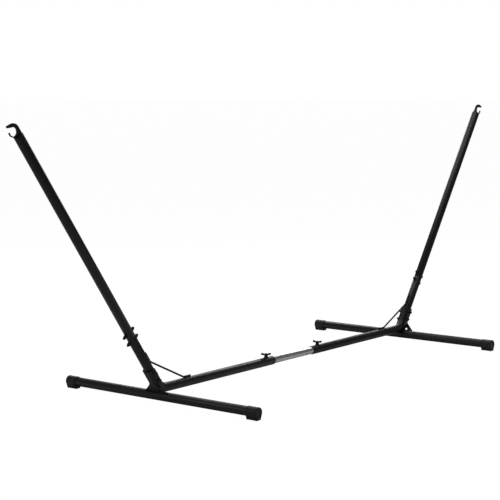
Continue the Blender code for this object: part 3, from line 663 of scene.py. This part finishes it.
def make_brace(half_name, half, body):
    corners = brace_corners()
    bm = bmesh.new()
    first, last = pipe_skin(bm, corners, BRACE_RADIUS, BRACE_BEND_RADIUS, 28, 10)
    for ring in (first, last):
        bmesh.ops.edgeloop_fill(bm, edges=ring)
    close_skin(bm)
    soften(bm, 0.0007, 3, 60.0)
    place_piece(half_name + "_brace", bm, half, body, POWDER_COAT, [half_name + "_brace_rod"])

    beads = bmesh.new()
    for end, inner, normal in ((corners[0], corners[1], arm_frame().to_3x3() @ Vector((1, 0, 0))),
                               (corners[3], corners[2], Vector((0, 0, -1)))):
        along = (inner - end).normalized()
        length = (inner - end).length - BRACE_WELD_SHORTER
        for side in (-1, 1):
            rail = Vector((0.0, side * 0.0036, 0.0)) + normal * 0.0033
            start = end + along * BRACE_WELD_START + rail
            weld_bead(beads, [start, start + along * length], THIN_BEAD)
    place_piece(half_name + "_brace_welds", beads, half, body, COATED_WELD)


# ======== foot caps
def cap_outline(inset=0.0):
    """End view of the foot cap: a round sleeve drawn down to a flat pad."""
    radius = TUBE_RADIUS + CONTACT_GAP + CAP_WALL - inset
    drop = BAR_AXIS_HEIGHT - inset
    half_pad = CAP_HALF_PAD - inset
    corner_angle = math.degrees(math.atan2(-drop, half_pad))
    reach = math.hypot(drop, half_pad)
    tangent = corner_angle + math.degrees(math.acos(radius / reach))
    corner = CAP_PAD_CORNER
    pad = arc((half_pad - corner, corner - drop), corner, -20.0, -90.0, 4)
    other = [(-x, y) for x, y in pad]
    sleeve = arc((0.0, 0.0), radius, tangent, 180.0 - tangent, 56)
    return sleeve + other + list(reversed(pad))


def cap_section(bm, depth, inset):
    """One outline ring of the cap, at a depth from its outer end."""
    verts = [bm.verts.new((x, y, -depth)) for x, y in cap_outline(inset)]
    return [bm.edges.new(pair) for pair in zip(verts, verts[1:] + verts[:1])]


def make_foot_cap(name, side, half, body, node_name):
    """Moulded cap: a rolled lip, a sleeve with grip rings, a dished end and a ribbed pad."""
    sections = [(0.0522, 0.0012), (0.0518, 0.0004), (0.0510, 0.0), (0.0476, 0.0), (0.0470, 0.0003),
                (0.0466, 0.0009), (0.0458, 0.0009), (0.0454, 0.0004)]
    sections += [(0.0120, 0.0004), (0.0116, 0.0009), (0.0108, 0.0009), (0.0104, 0.0003),
                 (0.0098, 0.0), (0.0034, 0.0), (0.0022, 0.00025), (0.0012, 0.0008),
                 (0.0004, 0.0017), (0.0, 0.0029)]
    bm = bmesh.new()
    skin_over(bm, [cap_section(bm, depth, inset) for depth, inset in sections])
    dish = turned([(0.0, 0.0012), (0.0156, 0.0012), (0.0156, 0.0004), (0.0152, -0.0001),
                   (0.0147, -0.0005), (0.0140, -0.0007), (0.0, -0.0007)], 72)
    button = turned([(0.0, -0.00015), (0.0021, -0.00015), (0.0024, -0.0004), (0.0026, -0.0012),
                     (0.0, -0.0012)])
    bore = straight_bar(TUBE_RADIUS + CONTACT_GAP, CAP_BORE_DEPTH,
                        shift(z=-CAP_END - CAP_BORE_DEPTH / 2), TUBE_SIDES)
    grooves = []
    for row in range(CAP_GROOVES):
        depth = CAP_GROOVE_START + row * CAP_GROOVE_PITCH
        groove = bmesh.new()
        bmesh.ops.create_cube(groove, size=1.0, matrix=shift(0.0, -BAR_AXIS_HEIGHT, -depth)
                              @ Matrix.Diagonal(CAP_GROOVE_SIZE))
        grooves.append(groove)
    cap = baked(bm, cutters=[bore, dish] + grooves)
    cap = baked(cap, joiners=[button])
    outer_end = BAR_LENGTH / 2 + CONTACT_GAP + CAP_END
    seat = shift(BAR_X, side * outer_end, BAR_AXIS_HEIGHT)
    facing = turn(math.pi, "Z") @ turn(math.pi / 2, "X") if side > 0 else turn(math.pi / 2, "X")
    place_piece(name, cap, half @ seat @ facing, body, CAP_PLASTIC, [node_name], 28.0)


# ======== bracket
def bar_in_arm():
    """The foot bar's axis in the arm's frame, as (across, along)."""
    place = arm_frame().inverted() @ Vector((BAR_X, 0.0, BAR_AXIS_HEIGHT))
    return place.x, place.z


def meet_bar(across, radius):
    """Station where a line along the arm, at that offset, comes down on the bar."""
    x, z = bar_in_arm()
    return z + math.sqrt(radius**2 - (across - x) ** 2)


def channel_outline():
    """The folded channel, with wide round folds and eased free edges."""
    o, i, flat, ease = BRACKET_OUTER, BRACKET_INNER, BRACKET_FLAT, 0.0008
    fold = BRACKET_FOLD + BRACKET_PLATE
    reach = -CHEEK_REACH
    outline = [(reach, o - ease), (reach + ease, o)]
    outline += arc((flat, flat), fold, 90.0, 0.0, 20) + arc((flat, -flat), fold, 0.0, -90.0, 20)
    outline += [(reach + ease, -o), (reach, ease - o), (reach, -i)]
    outline += arc((flat, -flat), BRACKET_FOLD, -90.0, 0.0, 16)
    outline += arc((flat, flat), BRACKET_FOLD, 0.0, 90.0, 16)
    return outline + [(reach, i)]


def flare_outline():
    """The back plate's foot, spread along the bar with round shoulders."""
    half, low, neck = FLARE_HALF_WIDTH, FLARE_FOOT - TUBE_RADIUS, BRACKET_FLAT + 0.0008
    corner = 0.004
    right = [(half, low)]
    right += arc((half - corner, FLARE_FOOT - corner * 0.4), corner, 0.0, 45.0, 4)
    right += [(BRACKET_OUTER - 0.002, 0.0373), (neck + 0.0075, 0.0432), (neck + 0.0042, FLARE_TOP),
              (neck + 0.0016, FLARE_TOP + 0.0055), (neck - 0.0008, FLARE_TOP + 0.0130)]
    return right + [(-x, y) for x, y in reversed(right)]


def make_bracket(half_name, half, body):
    low = FLARE_FOOT - TUBE_RADIUS
    channel = slab(channel_outline(), low, BRACKET_TOP)
    facing_out = Matrix(((0, 0, 1, 0), (1, 0, 0, 0), (0, 1, 0, 0), (0, 0, 0, 1)))
    flare = slab(flare_outline(), BRACKET_INNER, BRACKET_OUTER, facing_out)
    bar_x, bar_z = bar_in_arm()
    foot_cut = straight_bar(ON_TUBE, 0.30, shift(bar_x, 0.0, bar_z) @ ACROSS)
    deep = 0.08
    trim = slab([(-CHEEK_REACH - deep, CHEEK_FOOT), (-CHEEK_REACH, CHEEK_FOOT),
                 (TUBE_RADIUS / 2, -TUBE_RADIUS), (2 * deep, -TUBE_RADIUS), (2 * deep, -deep),
                 (-CHEEK_REACH - deep, -deep)], -CUT_REACH, CUT_REACH, STAND_UP)
    nose, spare = 0.009, 0.01
    round_nose = arc((-CHEEK_REACH + nose, BRACKET_TOP - nose), nose, 180.0, 90.0, 8)
    corners = slab([(-CHEEK_REACH - spare, BRACKET_TOP + spare),
                    (-CHEEK_REACH - spare, BRACKET_TOP - nose)] + round_nose
                   + [(-CHEEK_REACH + nose, BRACKET_TOP + spare)],
                   -CUT_REACH, CUT_REACH, STAND_UP)
    beside = FLARE_HOLE_SIDES[half_name] * FLARE_HOLE_OFFSET
    hole_place = shift(BRACKET_INNER + 0.0097, beside, FLARE_HOLE_STATION)
    hole = straight_bar(FLARE_HOLE_RADIUS, 0.02, hole_place @ turn(math.pi / 2, "Y"), 48)
    bm = baked(channel, cutters=[foot_cut, trim, corners, hole], joiners=[flare],
               bevel=(0.0005, 2))
    place_piece(half_name + "_pressed_bracket", bm, half @ arm_frame(), body, POWDER_COAT,
                [half_name + "_bracket"])
    make_bracket_welds(half_name, half, body)


def make_bracket_welds(half_name, half, body):
    """Beads where the bracket's back, flare and cheeks stand on the foot bar."""
    beads = bmesh.new()
    bar_x, bar_z = bar_in_arm()
    ride = BEAD_RIDE
    outer = BRACKET_OUTER + 0.0009
    reach = FLARE_HALF_WIDTH - 0.002
    foot = meet_bar(outer, ride)
    weld_bead(beads, [(outer, -reach, foot), (outer, reach, foot)], WIDE_BEAD)
    inner = BRACKET_INNER - 0.0008
    foot = meet_bar(inner, ride)
    for side in (-1, 1):
        weld_bead(beads, [(inner, side * (BRACKET_FLAT + 0.0115), foot),
                          (inner, side * reach, foot)], SMALL_BEAD)
    slope = Vector((TUBE_RADIUS / 2 + CHEEK_REACH, 0.0, -TUBE_RADIUS - CHEEK_FOOT)).normalized()
    start = Vector((-CHEEK_REACH, 0.0, CHEEK_FOOT))
    away = Vector((bar_x, 0.0, bar_z)) - start
    along = away.dot(slope)
    landing = start + slope * (along - math.sqrt(ride**2 - (away - slope * along).length_squared))
    first = math.degrees(math.atan2(landing.z - bar_z, landing.x - bar_x))
    last = math.degrees(math.atan2(meet_bar(BRACKET_FLAT, ride) - bar_z, BRACKET_FLAT - bar_x))
    fold = BRACKET_FOLD + BRACKET_PLATE + 0.0008
    for side in (-1, 1):
        path = [(x, side * (BRACKET_OUTER + 0.0008), z)
                for x, z in arc((bar_x, bar_z), ride, first, last, 10)]
        for across, beside in arc((BRACKET_FLAT, BRACKET_FLAT), fold, 84.0, 42.0, 8):
            path.append((across, side * beside, meet_bar(across, ride)))
        weld_bead(beads, path, SMALL_BEAD)
    place_piece(half_name + "_bracket_welds", beads, half @ arm_frame(), body, COATED_WELD)


# ======== fasteners
def hex_body(bm, across_flats, low, high):
    """Hexagon with chamfered corners."""
    prism = straight_bar(across_flats / math.sqrt(3.0), high - low, shift(z=(low + high) / 2), 6)
    soften(prism, 0.00045, 3, 40.0)
    append(bm, prism)


def append(bm, other):
    """Move another bmesh's geometry into this one."""
    mesh = bpy.data.meshes.new("moving")
    other.to_mesh(mesh)
    other.free()
    bm.from_mesh(mesh)
    bpy.data.meshes.remove(mesh)


def turned_into(bm, profile, sides=40):
    """Turn a profile and add it to the bmesh."""
    append(bm, turned(profile, sides))


def flange_profile(bore, radius, height):
    rim = height * 0.3
    return [(bore, height), (radius - rim, height), (radius, height - rim), (radius, rim),
            (radius - rim, 0.0), (bore, 0.0), (bore, height)]


def bolt_head(bm):
    """Flanged hexagon head with a domed cap, on z = 0."""
    turned_into(bm, flange_profile(0.0041, 0.0085, 0.0015))
    hex_body(bm, 0.0120, 0.0012, 0.0070)
    turned_into(bm, dome(0.0058, 0.0068, 0.0060, 78.0, 10) + [(0.0058, 0.0060), (0.0, 0.0060)])


def acorn_nut(bm):
    """Dome nut on z = 0."""
    turned_into(bm, flange_profile(0.0041, 0.0085, 0.0015))
    hex_body(bm, 0.0125, 0.0013, 0.0080)
    turned_into(bm, dome(0.0056, 0.0084, 0.0066, 80.0, 12) + [(0.0056, 0.0072), (0.0, 0.0072)])


def bolt_shank(bm, length, radius=0.0039):
    rim = 0.0005
    turned_into(bm, [(0.0, 0.0005), (radius, 0.0005), (radius, rim - length),
                     (radius - rim, -length), (0.0, -length)], 24)


def make_bolted(half, body, prefix, place, across, face):
    """A bolt and its dome nut, on both sides of a stack."""
    seat = face + CONTACT_GAP
    head = bmesh.new()
    bolt_head(head)
    bolt_shank(head, 2 * seat + 0.0078)
    spin = turn(BOLT_TURNS[prefix.split("_")[-1]], "Z")
    place_piece(prefix + "_hex_bolt", head, half @ place @ across @ shift(z=seat) @ spin, body,
                FASTENER, [prefix + "_bolt"])
    nut = bmesh.new()
    acorn_nut(nut)
    place_piece(prefix + "_acorn_nut", nut,
                half @ place @ across @ turn(math.pi, "X") @ shift(z=seat) @ spin, body, FASTENER,
                [prefix + "_nut"])


def make_saddle(name, half, place, across, body, node_name):
    """Moulded washer, flat on one face and hollowed to the tube on the other."""
    low, ease = 0.0155, 0.0006
    blank = turned([(0.0, SADDLE_FACE), (SADDLE_RADIUS - ease, SADDLE_FACE),
                    (SADDLE_RADIUS, SADDLE_FACE - ease), (SADDLE_RADIUS, low), (0.0, low)], 48)
    saddle = baked(blank, cutters=[straight_bar(ON_TUBE, 0.05, across.inverted())])
    place_piece(name, saddle, half @ place @ across, body, CAP_PLASTIC, [node_name])


def make_arm_joint(half_name, half, body):
    across = turn(-math.pi / 2, "Y")
    for level, station in ARM_BOLT_STATIONS.items():
        prefix = "%s_arm_%s" % (half_name, level)
        place = arm_frame(station)
        make_bolted(half, body, prefix, place, across, SADDLE_FACE)
        make_saddle(prefix + "_saddle_inner", half, place, across, body, prefix + "_washer_inner")
        make_saddle(prefix + "_saddle_outer", half, place, across @ turn(math.pi, "X"), body,
                    prefix + "_washer_outer")


def make_base_joint(half_name, half, body):
    for level, station in BASE_BOLT_STATIONS.items():
        prefix = "%s_base_%s" % (half_name, level)
        make_bolted(half, body, prefix, arm_frame(station), ACROSS, BRACKET_OUTER)


# ======== hook
def hook_outline():
    """Side view about the throat's centre: +X outboard, +Y up the arm."""
    base = HOOK_COLLAR_HEIGHT - HOOK_BASE_DROP
    tip_x, tip_z, tip_radius = HOOK_TIP
    band = HOOK_THROAT_RADIUS + HOOK_SPUR_THICKNESS
    middle = HOOK_THROAT_RADIUS + HOOK_SPUR_THICKNESS / 2
    spur = arc((0.0, 0.0), middle, HOOK_SPUR_ANGLE, HOOK_SPUR_ANGLE, 1)[0]
    outline = [(-HOOK_BACK_RADIUS, base)]
    outline += arc((0.0, 0.0), HOOK_BACK_RADIUS, 180.0, 112.0, 16)
    outline += arc((tip_x, tip_z), tip_radius, 103.0, -59.0, 14)
    outline += arc((0.0, 0.0), HOOK_THROAT_RADIUS, 104.0, 360.0 + HOOK_SPUR_ANGLE, 64)[:-1]
    outline += arc(spur, HOOK_SPUR_THICKNESS / 2, HOOK_SPUR_ANGLE + 180.0, HOOK_SPUR_ANGLE, 8)
    outline += arc((0.0, 0.0), band, HOOK_SPUR_ANGLE, -46.0, 16)[1:]
    outline += arc((0.0155, -0.0215), 0.0060, 142.0, 200.0, 5)
    return outline + [(TUBE_RADIUS - HOOK_OFFSET - 0.0002, base)]


def make_hook(half_name, half, body):
    """Flat hook with eased edges, welded on the collar that closes the tube."""
    blade = slab(hook_outline(), -HOOK_THICKNESS / 2, HOOK_THICKNESS / 2)
    soften(blade, 0.0011, 3, 50.0)
    bmesh.ops.transform(blade, matrix=shift(HOOK_OFFSET, 0.0, HOOK_STATION) @ STAND_UP,
                        verts=blade.verts)
    end = ARM_TUBE_END + 0.0001
    top = end + HOOK_COLLAR_HEIGHT
    plug = TUBE_RADIUS - TUBE_WALL - 0.0003
    ease = 0.0009
    profile = [(0.0, top), (TUBE_RADIUS - ease, top)]
    profile += arc((TUBE_RADIUS - ease, top - ease), ease, 70.0, 0.0, 4)
    profile += [(TUBE_RADIUS, end + 0.0004), (TUBE_RADIUS - 0.0004, end), (plug, end),
                (plug, end - HOOK_PLUG_DEPTH), (0.0, end - HOOK_PLUG_DEPTH)]
    turned_into(blade, profile, TUBE_SIDES)
    place_piece(half_name + "_hook_blade", blade, half @ arm_frame(), body, POWDER_COAT,
                [half_name + "_hook"])

    beads = bmesh.new()
    for side in (-1, 1):
        rail = side * (HOOK_THICKNESS / 2 + 0.0006)
        weld_bead(beads, [(-0.0172, rail, top + 0.0006), (0.0060, rail, top + 0.0006)],
                  THIN_BEAD)
    place_piece(half_name + "_hook_welds", beads, half @ arm_frame(), body, COATED_WELD)

    upper = dome(0.0052, ON_TUBE, 0.0026, 75.0, 8) + [(0.0025, ON_TUBE - 0.0002)]
    rivet = turned(upper + [(radius, -height) for radius, height in reversed(upper)], 36)
    place_piece(half_name + "_hook_tube_rivet", rivet,
                half @ arm_frame(ARM_TUBE_END - RIVET_DEPTH) @ ACROSS, body, FASTENER,
                [half_name + "_hook_rivet"])


# ======== telescoping joint and clamp
def make_mouth_bush(half_name, half, body):
    """Lipped plastic bush, with a rounded nose and a shallow lead-in."""
    bore, outer = INNER_RADIUS + CONTACT_GAP, TUBE_RADIUS - TUBE_WALL - CONTACT_GAP
    lip = TUBE_RADIUS
    profile = [(bore, 0.024), (outer - 0.0008, 0.024), (outer, 0.0232), (outer, -0.0002),
               (lip - 0.0004, -0.0002), (lip, -0.0006), (lip, -0.0026)]
    profile += [(lip - 0.0014 + 0.0014 * x, -0.0026 - 0.0014 * z)
                for x, z in arc((0.0, 0.0), 1.0, 15.0, 90.0, 5)]
    profile += [(bore + 0.0010, -0.0040), (bore + 0.0003, -0.0037), (bore, -0.0030), (bore, 0.024)]
    place_piece(half_name + "_beam_mouth_bush", turned(profile, TUBE_SIDES),
                half @ beam_frame(MOUTH_X), body, CAP_PLASTIC, [half_name + "_mouth_bush"])


def make_clamp_nut(half_name, half, body):
    """Round nut welded on the tube, with a countersunk thread mouth."""
    top = TUBE_RADIUS + CLAMP_NUT_HEIGHT
    bore, rim, low = 0.0045, 0.0085, 0.0165
    blank = turned([(bore, top - 0.0006), (0.0053, top), (0.0078, top), (0.0084, top - 0.0006),
                    (rim, top - 0.0013), (rim, low), (bore, low), (bore, top - 0.0006)], 56)
    nut = baked(blank, cutters=[straight_bar(ON_TUBE, 0.06, turn(math.pi / 2, "Y"))])
    seat = shift(CLAMP_X, 0.0, BEAM_HEIGHT)
    place_piece(half_name + "_welded_clamp_nut", nut, half @ seat, body, POWDER_COAT,
                [half_name + "_clamp_nut"])
    steps, around = 64, rim + 0.0005
    ring = [(x, y, math.sqrt(TUBE_RADIUS**2 - y**2) + 0.0004)
            for x, y in arc((0.0, 0.0), around, 0.0, 360.0, steps)[:-1]]
    beads = bmesh.new()
    weld_bead(beads, ring, 0.0017, closed=True)
    place_piece(half_name + "_clamp_nut_weld", beads, half @ seat, body, COATED_WELD)


def make_clamp_screw(half_name, half, body):
    """Stud with a rolled thread and a plain tip."""
    low, high = INNER_RADIUS + CONTACT_GAP, TUBE_RADIUS + STUD_HEIGHT
    core, crest = 0.0034, 0.00395
    bm = turned([(0.0, high), (core - 0.0004, high), (core, high - 0.0004), (core, low + 0.0008),
                 (core - 0.0008, low), (0.0, low)], 32)
    pitch, steps = 0.00125, 32
    turns = int((high - low - 0.003) / pitch)
    thread = bmesh.new()
    ridge = [(core - 0.0002, 0.0), (crest, pitch * 0.42), (crest, pitch * 0.56),
             (core - 0.0002, pitch * 0.98)]
    verts = [thread.verts.new((radius, 0.0, low + 0.0014 + height)) for radius, height in ridge]
    face = thread.faces.new(verts)
    bmesh.ops.spin(thread, geom=[face] + list(face.edges) + verts, cent=(0, 0, 0), axis=(0, 0, 1),
                   dvec=(0, 0, pitch / steps), angle=2 * math.pi * turns, steps=steps * turns)
    close_skin(thread)
    append(bm, thread)
    place_piece(half_name + "_clamp_stud", bm, half @ shift(CLAMP_X, 0.0, BEAM_HEIGHT), body,
                FASTENER, [half_name + "_clamp_screw"])



def easy_curve(start, leave, arrive, end, steps=10):
    """Points on a smooth curve between two places, steered by its two handles."""
    points = []
    for step in range(steps + 1):
        s = step / steps
        weights = ((1 - s) ** 3, 3 * s * (1 - s) ** 2, 3 * s**2 * (1 - s), s**3)
        points.append(tuple(sum(w * p[axis] for w, p in zip(weights, (start, leave, arrive, end)))
                            for axis in (0, 1)))
    return points


def wing_outline():
    """Front view of the knob's two wings: thick arms that swell to round tips."""
    tip, radius = (0.0170, 0.0095), 0.0049
    around = arc(tip, radius, -80.0, 112.0, 24)
    right = easy_curve((0.0055, 0.0034), (0.0088, 0.0036), (0.0139, 0.0040), around[0])[:-1]
    right += around
    right += easy_curve(around[-1], (0.0115, 0.0125), (0.0066, 0.0106), (0.0036, 0.0106))[1:]
    return right + [(-x, y) for x, y in reversed(right)]


def make_wing_knob(half_name, half, body):
    """Moulded wing knob: a skirted, domed hub and two thick, round-edged wings."""
    wings = cushion(wing_outline(), 0.0037, 0.0027)
    bmesh.ops.transform(wings, matrix=STAND_UP, verts=wings.verts)
    profile = dome(0.0058, 0.0100, 0.0025, 80.0, 12)
    profile += [(0.0061, 0.0070), (0.0065, 0.0045), (0.0074, 0.0030), (0.0080, 0.0021),
                (0.0082, 0.0012), (0.0080, 0.0004), (0.0074, 0.0), (0.0, 0.0)]
    socket = straight_bar(0.0043, 0.0085, shift(z=0.0075 - 0.00425), 40)
    knob = baked(baked(turned(profile, 64), joiners=[wings]), cutters=[socket])
    seat = shift(CLAMP_X, 0.0, BEAM_HEIGHT + TUBE_RADIUS + KNOB_HEIGHT)
    place_piece(half_name + "_clamp_wing_knob", knob,
                half @ seat @ turn(KNOB_ANGLES[half_name], "Z"), body, KNOB_PLASTIC,
                [half_name + "_wing_knob"], 40.0)


def make_inner_tube():
    ends = [beam_frame(side * INNER_LENGTH / 2).translation for side in (-1, 1)]
    bm = tube_from(ends, INNER_RADIUS, INNER_WALL)
    place_piece("zinc_inner_tube", bm, Matrix(), "inner_beam", ZINC, ["inner_beam_tube"])


# ======== the stand
for half_name, angle in HALVES.items():
    half = turn(angle, "Z")
    body = half_name + "_frame"
    make_foot_bar(half_name, half, body)
    back = 1 if half_name == "right" else -1
    make_foot_cap(half_name + "_cap_front", -back, half, body, half_name + "_foot_cap_front")
    make_foot_cap(half_name + "_cap_back", back, half, body, half_name + "_foot_cap_back")
    make_corner_tube(half_name, half, body)
    make_arm_tube(half_name, half, body)
    make_brace(half_name, half, body)
    make_bracket(half_name, half, body)
    make_base_joint(half_name, half, body)
    make_arm_joint(half_name, half, body)
    make_hook(half_name, half, body)
    make_mouth_bush(half_name, half, body)
    make_clamp_nut(half_name, half, body)
    make_clamp_screw(half_name, half, half_name + "_screw")
    make_wing_knob(half_name, half, half_name + "_knob")
make_inner_tube()


# ======== studio
def make_floor():
    bm = bmesh.new()
    bmesh.ops.create_grid(bm, x_segments=1, y_segments=1, size=60.0, matrix=shift(z=-0.0003))
    mesh = bpy.data.meshes.new("studio_floor")
    bm.to_mesh(mesh)
    bm.free()
    material, tree, shader, _ = start_material("pale_floor")
    shader.inputs["Roughness"].default_value = 0.9
    shader.inputs["Specular IOR Level"].default_value = 0.1
    shader.inputs["Emission Color"].default_value = (1.0, 1.0, 1.0, 1.0)
    seen = tree.nodes.new("ShaderNodeLightPath").outputs["Is Camera Ray"]
    shade = mix_colour(tree, seen, (0.66, 0.66, 0.66), (0.10, 0.10, 0.10))
    tree.links.new(shade, shader.inputs["Base Color"])
    glow = node(tree, "MapRange", {}, Value=seen, To_Min=0.0, To_Max=0.968)
    tree.links.new(glow.outputs[0], shader.inputs["Emission Strength"])
    mesh.materials.append(material)
    floor = bpy.data.objects.new("studio_floor", mesh)
    bpy.context.scene.collection.objects.link(floor)


def make_softbox(name, place, aim, size, watts):
    light = bpy.data.lights.new(name, "AREA")
    light.shape = "RECTANGLE"
    light.size, light.size_y = size
    light.energy = watts
    lamp = bpy.data.objects.new(name, light)
    bpy.context.scene.collection.objects.link(lamp)
    lamp.location = place
    lamp.rotation_euler = (Vector(aim) - Vector(place)).to_track_quat("-Z", "Y").to_euler()
    lamp.visible_camera = False


def make_world():
    world = bpy.data.worlds.new("studio")
    bpy.context.scene.world = world
    world.use_nodes = True
    tree = world.node_tree
    background = tree.nodes["Background"]
    background.inputs["Color"].default_value = (1.0, 1.0, 1.0, 1.0)
    seen = tree.nodes.new("ShaderNodeLightPath").outputs["Is Camera Ray"]
    strength = node(tree, "MapRange", {}, Value=seen, To_Min=0.13, To_Max=1.0)
    tree.links.new(strength.outputs[0], background.inputs["Strength"])


def make_camera():
    camera = bpy.data.cameras.new("studio_camera")
    camera.sensor_width = 36.0
    camera.lens = 105.35
    camera.clip_end = 200.0
    item = bpy.data.objects.new("studio_camera", camera)
    bpy.context.scene.collection.objects.link(item)
    yaw, pitch, roll = math.radians(50.85), math.radians(-6.70), math.radians(-0.61)
    ahead = Vector((math.cos(pitch) * math.sin(yaw), math.cos(pitch) * math.cos(yaw),
                    math.sin(pitch)))
    right = Vector((math.cos(yaw), -math.sin(yaw), 0.0))
    up = right.cross(ahead)
    level_right = math.cos(roll) * right + math.sin(roll) * up
    level_up = -math.sin(roll) * right + math.cos(roll) * up
    place = Matrix((level_right, level_up, -ahead)).transposed().to_4x4()
    place.translation = (-5.0844, -3.9035, 1.2839)
    item.matrix_world = place
    bpy.context.scene.camera = item


make_floor()
make_world()
make_softbox("overhead_softbox", (0.4, 0.3, 4.2), (0.0, 0.0, 0.3), (5.0, 3.0), 60.0)
make_softbox("rear_softbox", (3.2, 2.6, 2.4), (0.0, 0.0, 0.4), (4.5, 1.6), 60.0)
make_softbox("side_softbox", (-4.5, 1.5, 2.2), (0.0, 0.0, 0.4), (2.5, 2.0), 16.0)
make_camera()
bpy.context.scene.view_settings.view_transform = "Standard"
